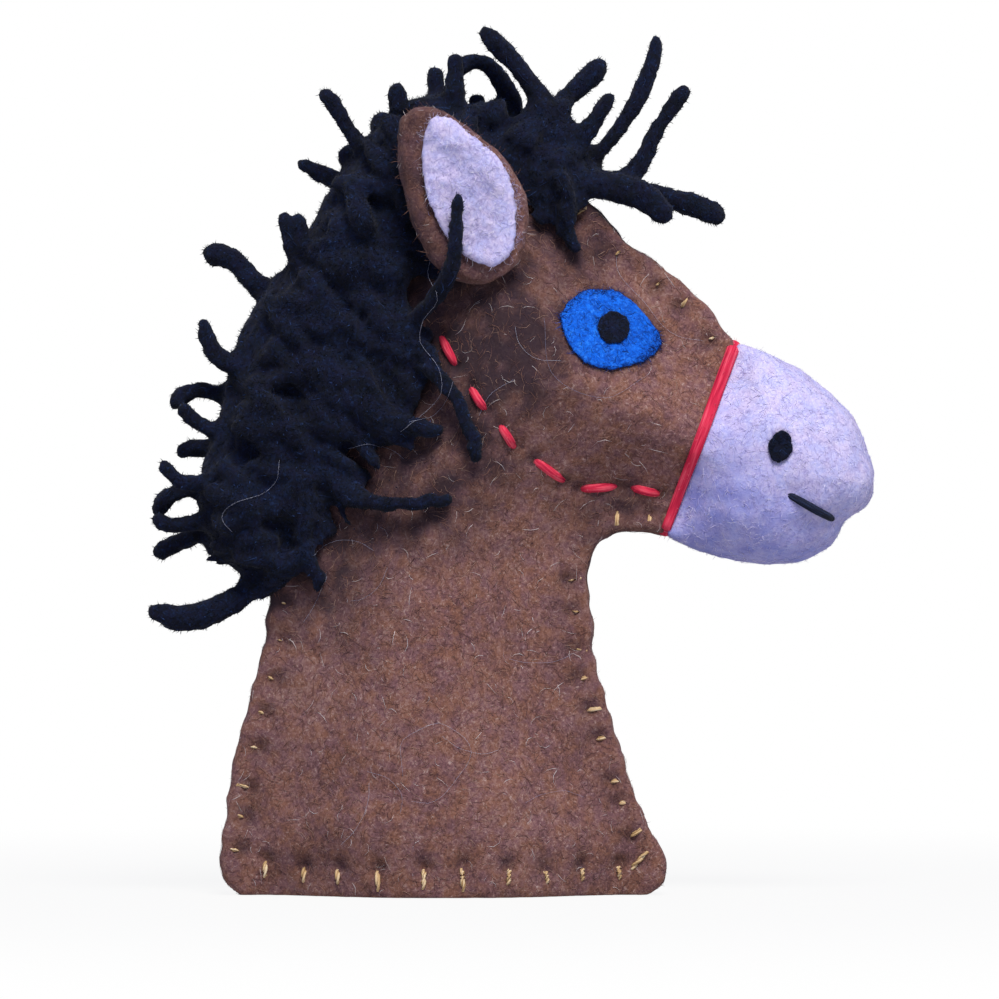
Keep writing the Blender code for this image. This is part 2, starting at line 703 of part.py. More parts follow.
def build_threads():
    """The gold thread along the back, the front with the throat and jaw, the forehead and the hem."""
    back_marks = run_marks(back_line)
    front_marks = run_marks(front_line)
    mane_foot = min(z for x, z in bed_points) * MM
    mane_start = back_marks[np.argmax(back_line[:, 1] > mane_foot - seam_mane_gap)]
    back = part_of(back_line, seam_hem_margin, mane_start)
    seam_thread("seam_thread_back", back, back_pitch)
    front = part_of(front_line, seam_joint_margin, front_marks[-1] - seam_hem_margin)
    seam_thread("seam_thread_front", front, front_pitch)
    forehead_end = back_marks[-1] - seam_joint_margin
    forehead = part_of(back_line, forehead_end - forehead_run, forehead_end)
    seam_thread("seam_thread_forehead", forehead, forehead_pitch)
    hem_thread(NEAR)
    hem_thread(FAR)


# Mane and forelock

bed_outline = smooth_line(bed_points, bed_spacing, closed=True)


def bed_outer(points):
    """Depth of the matted wool: a layer on the felt, and a full roll beyond the felt's edge."""
    from_rim = np.where(is_inside(points, bed_outline), distance_to(points, closed_line(bed_outline)), 0.0)
    on_felt = panel_outer(points) + touch_gap
    layer = on_felt + bed_thickness * (0.3 + 0.7 * smooth_step(from_rim / bed_slope))
    roll = (on_felt + bed_thickness) * (0.3 + 0.6 * round_step(from_rim / bed_slope))
    return np.where(is_inside(points, sewn_line), layer, roll)


def lock(path, width):
    """One lock of wool that tapers towards a blunt tip."""
    shares = np.linspace(1.0, lock_tip_share, len(path))
    shares[-1] = 0.7 * lock_tip_share
    return tube("lock", path, width / 2, None, shares=shares, collection=cutters)


def free_lock(width, root_y, tip_y, route):
    """A lock that stands clear of the felt."""
    line = smooth_line(route, lock_step)
    y = np.linspace(root_y, tip_y, len(line)) * MM
    return lock(np.column_stack([line[:, 0], y, line[:, 1]]), width * MM)


def draped_lock(width, route, side):
    """A lock that lies on the felt, with its root in the matted wool."""
    line = smooth_line(route, lock_step)
    return lock(on_surface(line, panel_outer, 1.5 * touch_gap + width * MM / 2, side), width * MM)


def laid_lock(points, width, side):
    """A lock laid on the matted wool, with its root sunk in it."""
    line = smooth_line(np.array(points) / MM, lock_step)
    lift = np.full(len(line), 0.15 * width)
    lift[0] = -0.5 * width
    return lock(np.column_stack([line[:, 0], side * (bed_outer(line) + lift), line[:, 1]]), width)


def row_of_locks(side):
    """Locks laid over the crest: an outer row down to the back of the mane, an inner row on the neck."""
    chance = random.Random(11 + side)
    crest = even_points(smooth_line(crest_points, outline_spacing), outline_spacing / 4)
    normals = outward(crest)
    made = []
    for number in range(outer_row_locks):
        station = int((number + 0.5 + chance.uniform(-0.2, 0.2)) / outer_row_locks * (len(crest) - 1))
        place, out = crest[station], normals[station]
        drop = np.array([0.0, -row_droop * chance.uniform(*outer_droop_spread)])
        middle = place + out * outer_lean_share * row_reach + drop * outer_middle_droop
        tip = place + out * row_reach * chance.uniform(*outer_reach_spread) + drop
        points = [place - out * row_root, middle, tip]
        made.append(laid_lock(points, row_width * chance.uniform(*outer_width_spread), side))
    for number in range(inner_row_locks):
        along = (number + 0.5) / inner_row_locks
        share = inner_row_start + inner_row_run * along
        place, out = crest[int(share * len(crest))], normals[int(share * len(crest))]
        reach = row_reach * (inner_reach_least + inner_reach_swell * np.sin(np.pi * along))
        drop = np.array([0.0, -row_droop * chance.uniform(*inner_droop_spread)])
        root = place + out * inner_root_share * row_reach
        points = [root, place - out * inner_middle_share * reach, place - out * reach + drop]
        made.append(laid_lock(points, row_width * chance.uniform(*inner_width_spread), side))
    return made


def build_mane():
    """The mane and forelock: matted wool over the crest, with its locks, as one felted body."""
    points, triangles = fill(bed_outline, bed_spacing)
    mane = slab("mane", points, triangles, lambda at: -bed_outer(at), bed_outer, NEAR, black_wool)
    body_outline = inset(sewn_line, -mane_clearance)
    shape, faces = fill(body_outline, panel_spacing, rings=[seam_flat])

    def cleared(at):
        """Depth of the body with the mane's clearance."""
        return panel_outer(at) + mane_clearance

    body = slab("body_cutter", shape, faces, lambda at: -cleared(at), cleared, NEAR, None, cutters)
    body.hide_render = True
    body.display_type = "WIRE"
    locks = [free_lock(*entry) for entry in free_locks]
    for side in (NEAR, FAR):
        locks += [draped_lock(*entry, side) for entry in draped_locks]
        locks += row_of_locks(side)
        ear_line = smooth_line(ear_lock_route, lock_step)
        locks.append(lock(ear_line * (1.0, -side, 1.0), ear_lock_width * MM))
    union(mane, locks)
    subtract(mane, body)


build_panels()
build_stuffing()
build_muzzle()
build_noseband()
for puppet_side in (NEAR, FAR):
    build_face(puppet_side)
    build_strap(puppet_side)
    build_ear(puppet_side)
build_threads()
build_mane()
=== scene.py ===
# %% [markdown]
# # A felt finger puppet: a horse's head
# The puppet is cut from wool felt and sewn by hand: two brown panels, a needle-felted muzzle, a mane of
# felted wool rolls, red yarn for the bridle and gold thread for the seams. The solid model gives each piece
# its size and place. This script dresses it in wool that can be looked at closely, one step to a cell.

# %% Load the solid model
import json
import math
import bmesh
import bpy
import numpy as np
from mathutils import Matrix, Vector, kdtree, noise
from mathutils.bvhtree import BVHTree

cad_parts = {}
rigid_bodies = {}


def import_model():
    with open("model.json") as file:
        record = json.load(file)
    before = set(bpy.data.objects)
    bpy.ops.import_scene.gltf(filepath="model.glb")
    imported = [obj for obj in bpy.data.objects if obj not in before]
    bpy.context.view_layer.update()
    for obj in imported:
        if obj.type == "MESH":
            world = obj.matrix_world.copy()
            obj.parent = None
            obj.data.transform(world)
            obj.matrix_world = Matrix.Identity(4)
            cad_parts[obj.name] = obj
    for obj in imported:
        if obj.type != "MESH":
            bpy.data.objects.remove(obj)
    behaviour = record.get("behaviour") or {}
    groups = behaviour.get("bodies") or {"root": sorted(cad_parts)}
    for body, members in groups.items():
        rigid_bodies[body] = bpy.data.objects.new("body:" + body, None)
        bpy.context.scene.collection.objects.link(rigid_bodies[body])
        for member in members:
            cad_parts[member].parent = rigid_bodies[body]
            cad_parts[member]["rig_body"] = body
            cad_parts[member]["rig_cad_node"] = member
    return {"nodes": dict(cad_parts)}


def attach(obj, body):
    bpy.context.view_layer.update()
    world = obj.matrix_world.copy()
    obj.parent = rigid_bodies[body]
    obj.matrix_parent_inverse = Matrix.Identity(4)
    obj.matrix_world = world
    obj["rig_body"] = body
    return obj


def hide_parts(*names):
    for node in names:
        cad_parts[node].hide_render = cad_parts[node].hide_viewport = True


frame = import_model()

MM = 0.001
NEAR, FAR = -1, 1
SIDES = {"near": NEAR, "far": FAR}
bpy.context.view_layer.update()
chance = np.random.default_rng(20)

# %% [markdown]
# ## Camera
# The photograph looks straight at the near side from about a metre. A long lens at that distance keeps
# the outline flat, and lets the bowed hem drop by half a millimetre in the middle, as it does there.

# %% Camera
bpy.ops.object.select_all(action="DESELECT")
bpy.ops.object.camera_add(location=(-0.00144, -0.9574, 0.0454), rotation=(math.radians(90), 0, 0))
camera = bpy.context.object
camera.name = "camera"
camera.data.lens = 300
bpy.context.scene.camera = camera
bpy.context.scene.view_settings.view_transform = "Standard"
print("camera at", [round(v, 4) for v in camera.location])

# %% [markdown]
# ## Colours and nodes
# Colours are written as sRGB hex values, as a paint program shows them, but a shader works in linear light,
# so one function turns them. A second function adds a node, sets it and links it, which keeps each material
# as short as its idea.

# %% Two small helpers for materials
def linear(code):
    """A sRGB hex colour as linear light, with an alpha of 1."""
    parts = [int(code[at:at + 2], 16) / 255 for at in (1, 3, 5)]
    return (*[p / 12.92 if p <= 0.04045 else ((p + 0.055) / 1.055) ** 2.4 for p in parts], 1.0)


def add_node(tree, kind, inputs=None, **settings):
    """Adds a node with its settings. An input takes a value, an output, or a node for its first output."""
    node = tree.nodes.new(kind)
    for name, value in settings.items():
        setattr(node, name, value)
    for name, value in (inputs or {}).items():
        if isinstance(value, bpy.types.Node):
            value = value.outputs[0]
        if isinstance(value, bpy.types.NodeSocket):
            tree.links.new(value, node.inputs[name])
        else:
            node.inputs[name].default_value = value
    return node


def new_material(name):
    """A material with its node tree and its Principled shader."""
    made = bpy.data.materials.new(name)
    made.use_nodes = True
    return made, made.node_tree, made.node_tree.nodes["Principled BSDF"]


print("black, mid grey, white:", linear("#000000")[0], round(linear("#808080")[0], 3), linear("#FFFFFF")[0])

# %% [markdown]
# ## Light, floor and background
# The puppet stands on a pale floor under one wide, soft lamp, high and in front, so that the ear and the
# mane shade the temple and the neck below them. A dim cool sky lights the shadows. Rays that come
# straight from the camera meet plain white instead of the sky, so the picture has a white ground without
# any more light on the wool. The floor is white to the camera where it is far off. Near the puppet it is
# partly lit, so that it keeps a soft shadow under the hem.

# %% World
world = bpy.data.worlds.new("studio")
bpy.context.scene.world = world
world.use_nodes = True
sky = world.node_tree
sky.nodes.clear()


def seen_directly(tree):
    """One where a ray comes from the camera, or from a glossy or clear surface."""
    path = add_node(tree, "ShaderNodeLightPath").outputs
    first = add_node(tree, "ShaderNodeMath", {0: path["Is Camera Ray"], 1: path["Is Glossy Ray"]},
                     operation="ADD", use_clamp=True)
    return add_node(tree, "ShaderNodeMath", {0: first, 1: path["Is Transmission Ray"]},
                    operation="ADD", use_clamp=True)


fill = add_node(sky, "ShaderNodeBackground", {"Color": linear("#A3B8FF"), "Strength": 0.33})
white = add_node(sky, "ShaderNodeBackground", {"Color": linear("#FFFFFF"), "Strength": 1.0})
chosen = add_node(sky, "ShaderNodeMixShader", {0: seen_directly(sky), 1: fill, 2: white})
add_node(sky, "ShaderNodeOutputWorld", {"Surface": chosen})
print("sky strength", fill.inputs["Strength"].default_value)

# %% Lamp
lamp_place = Vector((0.10, -0.45, 0.66))
bpy.ops.object.light_add(type="AREA", location=lamp_place)
lamp = bpy.context.object
lamp.name = "soft_lamp"
lamp.data.shape = "DISK"
lamp.data.size = 0.34
lamp.data.energy = 6.6
lamp.data.color = (1.0, 0.96, 0.90)
lamp.rotation_euler = (Vector((0, 0, 0.05)) - lamp_place).to_track_quat("-Z", "Y").to_euler()
print("lamp at", [round(v, 2) for v in lamp_place], "watts", round(lamp.data.energy, 2))

# %% Floor
bpy.ops.mesh.primitive_plane_add(size=3.0, location=(0, 0, 0))
floor = bpy.context.object
floor.name = "floor"
paper, tree, shader = new_material("matt_paper_sweep")
shader.inputs["Base Color"].default_value = linear("#C8C8C6")
shader.inputs["Roughness"].default_value = 0.9
grit = add_node(tree, "ShaderNodeTexNoise", {"Scale": 900.0, "Detail": 2.0})
bump = add_node(tree, "ShaderNodeBump", {"Strength": 0.1, "Distance": 0.0002, "Height": grit})
tree.links.new(bump.outputs[0], shader.inputs["Normal"])
glow = add_node(tree, "ShaderNodeEmission", {"Color": linear("#FFFFFF"), "Strength": 1.0})
spot = add_node(tree, "ShaderNodeTexCoord").outputs["Object"]
far_off = add_node(tree, "ShaderNodeVectorMath", {0: spot}, operation="LENGTH").outputs["Value"]
whiteness = add_node(tree, "ShaderNodeMapRange", {"Value": far_off, "From Min": 0.05, "From Max": 0.22,
                                                  "To Min": 0.90, "To Max": 1.0},
                     interpolation_type="SMOOTHSTEP")
share = add_node(tree, "ShaderNodeMath", {0: seen_directly(tree), 1: whiteness}, operation="MULTIPLY")
mixed = add_node(tree, "ShaderNodeMixShader", {0: share, 1: shader, 2: glow})
tree.links.new(mixed.outputs[0], tree.nodes["Material Output"].inputs["Surface"])
floor.data.materials.append(paper)
print("floor", floor.dimensions[:2])

# %% [markdown]
# ## Wool felt
# Felt is carded wool, wetted and rubbed until its fibres lock. Close to, it is a fine, uneven grain of
# fibres a few hundredths of a millimetre thick. The wool was blended from several shades, so its hue drifts
# every few millimetres, and it is lighter and darker in clouds. Four noises draw that: a grain of about
# 0.4 mm with finer steps in it, clouds of a few millimetres, a broad one of about a centimetre, and a drift
# between two hues. Few single fibres are seen in it, and those are the lines where one more noise crosses
# its middle value: thin, curved and without ends. They are coarser than life, so that they show in a picture
# of this size.

# %% Felt material
def wool_felt(name, dark, body, other, light, pale, grain=0.42, cloud=2.6, grain_share=1.0, sheen_share=0.05,
              wool_and_shade_colour=None):
    """Felted wool from dark to pale, its body between two hues. Grain and cloud are in millimetres."""
    made, tree, shader = new_material(name)
    place = add_node(tree, "ShaderNodeTexCoord").outputs["Object"]
    moved = add_node(tree, "ShaderNodeMapping", {"Vector": place, "Location": (0.12, 0.05, 0.41)})
    grains = add_node(tree, "ShaderNodeTexNoise", {"Vector": place, "Scale": 1 / (grain * MM), "Detail": 4.0,
                                                   "Roughness": 0.72, "Distortion": 0.9})
    clouds = add_node(tree, "ShaderNodeTexNoise", {"Vector": place, "Scale": 1 / (cloud * MM), "Detail": 3.0,
                                                   "Roughness": 0.6, "Distortion": 0.5})
    drift = add_node(tree, "ShaderNodeTexNoise", {"Vector": moved, "Scale": 1 / (0.7 * cloud * MM),
                                                  "Detail": 3.0, "Roughness": 0.6})
    broad = add_node(tree, "ShaderNodeTexNoise", {"Vector": moved, "Scale": 1 / (4.0 * cloud * MM),
                                                  "Detail": 1.0})
    # How light the wool is: mostly the grain, then the clouds, then the broad noise
    fine_part = add_node(tree, "ShaderNodeMath", {0: grains, 1: 0.92 * grain_share}, operation="MULTIPLY")
    two = add_node(tree, "ShaderNodeMath", {0: clouds, 1: 0.27, 2: fine_part}, operation="MULTIPLY_ADD")
    value = add_node(tree, "ShaderNodeMath", {0: broad, 1: 0.14, 2: two}, operation="MULTIPLY_ADD")
    middle = 0.46 * grain_share + 0.135 + 0.07
    hue = add_node(tree, "ShaderNodeMapRange", {"Value": drift, "From Min": 0.38, "From Max": 0.62})
    low = add_node(tree, "ShaderNodeMapRange", {"Value": value, "From Min": middle - 0.20,
                                                "From Max": middle})
    high = add_node(tree, "ShaderNodeMapRange", {"Value": value, "From Min": middle,
                                                 "From Max": middle + 0.24})
    # The lines of single fibres, seen only where the grain is light
    field = add_node(tree, "ShaderNodeTexNoise", {"Vector": moved, "Scale": 1 / (0.9 * MM), "Detail": 1.0,
                                                  "Distortion": 0.6})
    off = add_node(tree, "ShaderNodeMath", {0: field, 1: 0.5, 2: 0.014}, operation="COMPARE")
    seen = add_node(tree, "ShaderNodeMapRange", {"Value": grains, "From Min": 0.45, "From Max": 0.70,
                                                 "To Max": 0.5})
    lines = add_node(tree, "ShaderNodeMath", {0: off, 1: seen}, operation="MULTIPLY")
    # Each colour is mixed with the one before it, and last comes the dark colour of worked-in wool and painted
    # shade
    blended = add_node(tree, "ShaderNodeMix", {0: hue, 6: linear(body), 7: linear(other)},
                       data_type="RGBA").outputs[2]
    shaded = add_node(tree, "ShaderNodeMix", {0: low, 6: linear(dark), 7: blended},
                      data_type="RGBA").outputs[2]
    lit = add_node(tree, "ShaderNodeMix", {0: high, 6: shaded, 7: linear(light)},
                   data_type="RGBA").outputs[2]
    colour = add_node(tree, "ShaderNodeMix", {0: lines, 6: lit, 7: linear(pale)},
                      data_type="RGBA").outputs[2]
    if wool_and_shade_colour:
        dark_wool_and_shade = add_node(tree, "ShaderNodeAttribute", attribute_name="dark_wool_and_shade").outputs["Fac"]
        colour = add_node(tree, "ShaderNodeMix", {0: dark_wool_and_shade, 6: colour, 7: linear(wool_and_shade_colour)},
                          data_type="RGBA").outputs[2]
    tree.links.new(colour, shader.inputs["Base Color"])
    bump = add_node(tree, "ShaderNodeBump", {"Strength": 0.6, "Distance": 0.16 * MM, "Height": value})
    tree.links.new(bump.outputs[0], shader.inputs["Normal"])
    rough = add_node(tree, "ShaderNodeMapRange", {"Value": grains, "To Min": 0.84, "To Max": 1.0})
    tree.links.new(rough.outputs[0], shader.inputs["Roughness"])
    shader.inputs["Specular IOR Level"].default_value = 0.12
    shader.inputs["Sheen Weight"].default_value = sheen_share
    shader.inputs["Sheen Roughness"].default_value = 0.6
    return made


# Brown merino blend: matt, orange-brown and purple-brown. Darker by the mane, the ear and the temple, with
# worked-in black wool and painted shade, and with painted shade on the jaw and in the pits
brown_wool = wool_felt("brown_wool_felt", "#4E3536", "#845A4A", "#7A5659", "#A07E74", "#D6C0B8",
                       wool_and_shade_colour="#241C26")
# Lilac merino: matt and paler, with painted blue-violet shade low on the muzzle
lilac_wool = wool_felt("lilac_wool_felt", "#A49BCB", "#CFC4E8", "#BFC0F0", "#E2DAF5", "#FBF8FF", cloud=2.2,
                       wool_and_shade_colour="#6E78CC")
# Blue merino: bright cobalt with navy worked into it
blue_wool = wool_felt("blue_wool_felt", "#0C3A92", "#0F63DC", "#145CCC", "#2A86F6", "#5AA4FA", cloud=1.3,
                      sheen_share=0.0)
# Black merino, matted: nearly black, with navy light on its fibres
black_wool = wool_felt("black_matted_wool", "#03040A", "#080E1C", "#0C0E24", "#12203E", "#28406E", cloud=2.0,
                       sheen_share=0.03)
# White carded fleece: the stuffing, loose and matt
white_fleece = wool_felt("white_carded_fleece", "#CFC8BC", "#EAE5DA", "#E6E0D8", "#F7F4EC", "#FFFFFF",
                         cloud=4.0)
print("felts:", brown_wool.name, lilac_wool.name, blue_wool.name, black_wool.name, white_fleece.name)

# %% [markdown]
# ## Fibre and yarn
# Loose fibres, yarn and thread run along a line, so their materials follow that line and not the space
# around them. Each copy of such a shape keeps the place that every point had before it was bent, in an
# attribute named grain, in millimetres. A noise stretched along grain gives fibres that run with the yarn,
# and bands across it give the ridges of a tight twist. A second attribute, tint, gives each loose fibre a
# colour of its own.

# %% Fibre, yarn and thread materials
def fibre_wool(name, stops, roughness=0.8):
    """Loose wool fibres, each coloured by its own tint."""
    made, tree, shader = new_material(name)
    tint = add_node(tree, "ShaderNodeAttribute", attribute_name="tint").outputs["Fac"]
    ramp = add_node(tree, "ShaderNodeValToRGB", {"Fac": tint})
    ramp.color_ramp.elements[0].color = linear(stops[0])
    ramp.color_ramp.elements[1].color = linear(stops[-1])
    for number, code in enumerate(stops[1:-1], start=1):
        ramp.color_ramp.elements.new(number / (len(stops) - 1)).color = linear(code)
    tree.links.new(ramp.outputs[0], shader.inputs["Base Color"])
    shader.inputs["Roughness"].default_value = roughness
    shader.inputs["Specular IOR Level"].default_value = 0.2
    return made


def spun_wool(name, dark, body, light, fibre=0.12, run=2.5, twist=None, depth=0.06, roughness=0.85):
    """Yarn or thread: streaks along its grain, and ridges across it if it is twisted. In millimetres."""
    made, tree, shader = new_material(name)
    grain = add_node(tree, "ShaderNodeAttribute", attribute_name="grain").outputs["Vector"]
    drawn = add_node(tree, "ShaderNodeMapping", {"Vector": grain, "Scale": (1 / fibre, 1 / fibre, 1 / run)})
    height = add_node(tree, "ShaderNodeTexNoise", {"Vector": drawn, "Scale": 0.5, "Detail": 3.0,
                                                   "Roughness": 0.6, "Distortion": 0.3})
    if twist:
        # The ridges also set the colour: darker in the grooves between them, as painted shade
        tilted = add_node(tree, "ShaderNodeMapping", {"Vector": grain, "Rotation": (0.45, 0.0, 0.0)})
        ridges = add_node(tree, "ShaderNodeTexWave", {"Vector": tilted, "Scale": 0.314 / twist,
                                                      "Distortion": 0.6}, bands_direction="Z").outputs["Fac"]
        height = add_node(tree, "ShaderNodeMath", {0: ridges, 1: 0.12, 2: height}, operation="MULTIPLY_ADD")
    shift = 0.06 if twist else 0.0
    first = add_node(tree, "ShaderNodeMapRange", {"Value": height, "From Min": 0.32 + shift,
                                                  "From Max": 0.50 + shift})
    last = add_node(tree, "ShaderNodeMapRange", {"Value": height, "From Min": 0.50 + shift,
                                                 "From Max": 0.70 + shift})
    shaded = add_node(tree, "ShaderNodeMix", {0: first, 6: linear(dark), 7: linear(body)},
                      data_type="RGBA").outputs[2]
    colour = add_node(tree, "ShaderNodeMix", {0: last, 6: shaded, 7: linear(light)},
                      data_type="RGBA").outputs[2]
    tree.links.new(colour, shader.inputs["Base Color"])
    bump = add_node(tree, "ShaderNodeBump", {"Strength": 0.7, "Distance": depth * MM, "Height": height})
    tree.links.new(bump.outputs[0], shader.inputs["Normal"])
    shader.inputs["Roughness"].default_value = roughness
    shader.inputs["Specular IOR Level"].default_value = 0.2
    return made


# Red wool yarn pulled tight: matt, its twist nearly drawn out, so only short streaks are left
red_yarn = spun_wool("red_wool_yarn", "#A01236", "#D8304C", "#EC6474", fibre=0.13, run=1.4)
# The same yarn laid flat in several strands round the nose: streaks along it and no twist
red_band = spun_wool("red_wool_band", "#A81236", "#D42A4A", "#EC5A70", fibre=0.15, run=2.4)
# Gold sewing thread: a smooth spun polyester, the one piece with a soft shine
gold_thread = spun_wool("gold_sewing_thread", "#94703F", "#D2B080", "#F6E6C4", fibre=0.10, run=2.0,
                        roughness=0.45, depth=0.03)
# Dark navy thread: the mouth stitch
navy_thread = spun_wool("navy_wool_thread", "#0A0C18", "#12182C", "#283455", fibre=0.08, run=1.0, twist=0.25)
# Single fibres: from the darkest shade of their wool to the palest, by their tint
brown_fibre = fibre_wool("brown_wool_fibre", ["#55393A", "#72504A", "#90695A", "#B39484", "#E6DEDE"])
lilac_fibre = fibre_wool("lilac_wool_fibre", ["#A8A2D6", "#CCC6EE", "#E4DFF8", "#FBFAFF"])
black_fibre = fibre_wool("black_wool_fibre", ["#04050A", "#090F1E", "#101B38", "#30487A"])
blue_fibre = fibre_wool("blue_wool_fibre", ["#0A1638", "#0F3585", "#1765D6", "#3E92F8"])
red_fibre = fibre_wool("red_wool_fibre", ["#A81F3C", "#D93350", "#F28A9A"])
white_fibre = fibre_wool("white_stray_hair", ["#8E93B4", "#DCDFF2"], roughness=0.5)
print("yarns and fibres ready:", len(bpy.data.materials), "materials in all")

# %% [markdown]
# ## A soft piece from its solid
# The solid model's felt pieces are coarse and sharp at their cut edges. Each one is copied, its triangles
# are merged into one skin, and a voxel remesh lays an even grid over it. A few rounds of smoothing then
# round the cut edge as scissors leave it, and noise pushes the grid in and out as hand-made felt is thick
# and thin. The size and place stay those of the solid.

# %% Helpers for soft pieces
def solo(piece):
    """Leaves one object selected and active."""
    bpy.ops.object.select_all(action="DESELECT")
    piece.select_set(True)
    bpy.context.view_layer.objects.active = piece


def apply_modifier(piece, kind, **settings):
    """Adds a modifier with its settings to the active object and applies it."""
    added = piece.modifiers.new(kind, kind)
    for name, value in settings.items():
        setattr(added, name, value)
    bpy.ops.object.modifier_apply(modifier=added.name)


def soft_copy(node, name, voxel, rounds, finish):
    """A copy of a solid as one even, rounded skin. The voxel is in millimetres."""
    piece = bpy.data.objects.new(name, frame["nodes"][node].data.copy())
    bpy.context.scene.collection.objects.link(piece)
    solo(piece)
    bpy.ops.object.mode_set(mode="EDIT")
    bpy.ops.mesh.select_all(action="SELECT")
    bpy.ops.mesh.remove_doubles(threshold=1e-6)
    bpy.ops.object.mode_set(mode="OBJECT")
    apply_modifier(piece, "REMESH", mode="VOXEL", voxel_size=voxel * MM)
    apply_modifier(piece, "SMOOTH", factor=0.5, iterations=rounds)
    dress(piece, finish)
    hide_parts(node)
    return piece


def dress(piece, finish):
    """Gives a piece its material, smooth shading and its body."""
    piece.data.materials.clear()
    piece.data.materials.append(finish)
    piece.data.shade_smooth()
    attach(piece, "root")


def points_of(piece):
    """A mesh's points and their normals."""
    count = len(piece.data.vertices)
    places, normals = np.empty(count * 3, np.float32), np.empty(count * 3, np.float32)
    piece.data.vertices.foreach_get("co", places)
    piece.data.vertex_normals.foreach_get("vector", normals)
    return places.reshape(-1, 3).astype(float), normals.reshape(-1, 3).astype(float)


def set_points(piece, places):
    """Writes a mesh's points back."""
    piece.data.vertices.foreach_set("co", places.astype(np.float32).ravel())
    piece.data.update()


def lumps(places, layers, seed=0.0):
    """Uneven thickness: noise in layers of (size, depth), both in millimetres."""
    total = np.zeros(len(places))
    start = Vector((seed, seed, seed))
    for size, depth in layers:
        total += [depth * MM * noise.noise(Vector(p) / (size * MM) + start) for p in places]
    return total


def roughen(piece, layers, seed, swell=0.0):
    """Pushes a piece's points out by noise in layers and by an even swell, in millimetres."""
    places, normals = points_of(piece)
    set_points(piece, places + normals * (lumps(places, layers, seed) + swell * MM)[:, None])


def dents(places, marks, radius, depth):
    """How far each point sinks near the marks, which are points on the felt."""
    sink = np.zeros(len(places))
    for mark in marks:
        gap = ((places - mark) ** 2).sum(axis=1) / (radius * MM) ** 2
        sink = np.maximum(sink, depth * MM * np.exp(-gap))
    return sink


def surface_of(*pieces):
    """One search tree over the surfaces of several pieces."""
    corners, faces = [], []
    for piece in pieces:
        start = len(corners)
        corners += [v.co.copy() for v in piece.data.vertices]
        faces += [[start + v for v in p.vertices] for p in piece.data.polygons]
    return BVHTree.FromPolygons(corners, faces)


def onto(tree, x, z, side, lift=0.0):
    """The point of a surface over (x, z) in millimetres, seen from one side, and its normal."""
    hit, normal, _, _ = tree.ray_cast(Vector((x * MM, side * 0.06, z * MM)), Vector((0, -side, 0)))
    if hit is None:
        return None, None
    return np.array(hit + normal * lift * MM), np.array(normal)


print("helpers for soft pieces ready")

# %% [markdown]
# ## Where the stitches are
# The stitches shape the felt: each one sinks a small pit where the needle went in, and draws the edge in a
# little beside it. So their places come before the panels. Down the two sides they are given by height, and
# on the forehead by distance, read from the picture. A hem stitch has its distance, its foot and its top,
# and a stitch of the strap its two ends. The outlines are smooth curves through a few points, the same ones
# that the solid model was cut to. Places like these are (x, z) in millimetres.

# %% Outlines and stitch places
neck_edge = [(-31.0, 0.0), (-33.4, 2.6), (-33.2, 6.8), (-31.1, 18.6), (-28.5, 29.0), (-27.5, 37.0),
             (-24.5, 48.0)]
forehead_edge = [(-5.2, 85.0), (1.2, 85.3), (7.5, 80.8), (13.6, 74.6), (20.2, 69.7), (25.6, 63.4)]
throat_edge = [(17.4, 41.4), (13.6, 41.8), (10.6, 41.5), (9.2, 39.8), (8.6, 36.6), (9.2, 31.5), (9.4, 27.5),
               (10.9, 21.6), (13.1, 14.7), (15.2, 8.4), (17.5, 4.2), (17.6, 1.8), (15.4, 0.0)]
nose_top, nose_bottom = (25.6, 63.4), (17.4, 41.4)


def smooth_route(points, count):
    """Evenly spaced points on a smooth curve through the given ones."""
    knots = np.array(points, float)
    knots = np.vstack([2 * knots[0] - knots[1], knots, 2 * knots[-1] - knots[-2]])
    t = np.linspace(0, 1, 16, endpoint=False)[:, None]
    fine = []
    for a, b, c, d in zip(knots, knots[1:], knots[2:], knots[3:]):
        fine.append(0.5 * (2 * b + (c - a) * t + (2 * a - 5 * b + 4 * c - d) * t ** 2
                           + (3 * b - a - 3 * c + d) * t ** 3))
    fine = np.vstack([*fine, knots[-2:-1]])
    marks = np.concatenate([[0], np.cumsum(np.linalg.norm(np.diff(fine, axis=0), axis=1))])
    wanted = np.linspace(0, marks[-1], count)
    return np.column_stack([np.interp(wanted, marks, fine[:, axis]) for axis in range(fine.shape[1])])


def edge_marks(edge, values, axis, inward):
    """For each stitch, its place on the edge and the way into the felt from there."""
    line = smooth_route(edge, 240)
    made = []
    for value in values:
        at = int(np.argmin(abs(line[:, axis] - value)))
        along = line[min(at + 2, 239)] - line[max(at - 2, 0)]
        way = np.array([-along[1], along[0]]) / np.linalg.norm(along)
        made.append((line[at], way * np.sign(way @ np.array(inward))))
    return made


back_stitches = edge_marks(neck_edge, [33.6, 29.6, 25.4, 21.4, 17.4, 12.8, 9.1, 5.5], 1, (1, 0))
chest_edge = throat_edge[4:]
front_stitches = edge_marks(chest_edge, [36.2, 32.9, 28.5, 25.4, 21.9, 18.5, 13.8, 11.3, 7.7], 1, (-1, 0))
jaw_stitches = edge_marks(throat_edge[:3], [15.6, 12.4], 0, (0, 1))
forehead_stitches = edge_marks(forehead_edge, [8.8, 13.2, 17.7, 20.9, 24.2], 0, (-1, -1))
seam_stitches = back_stitches + front_stitches + jaw_stitches + forehead_stitches
hem_legs = [(-28.3, 2.0, 3.9), (-23.8, 1.6, 3.2), (-19.8, 1.5, 3.1), (-15.2, 0.7, 3.1), (-10.1, 1.0, 3.3),
            (-5.5, 0.7, 3.5), (-0.5, 1.6, 3.3), (4.0, 1.7, 3.0), (8.0, 1.9, 3.2), (12.3, 2.0, 3.4)]
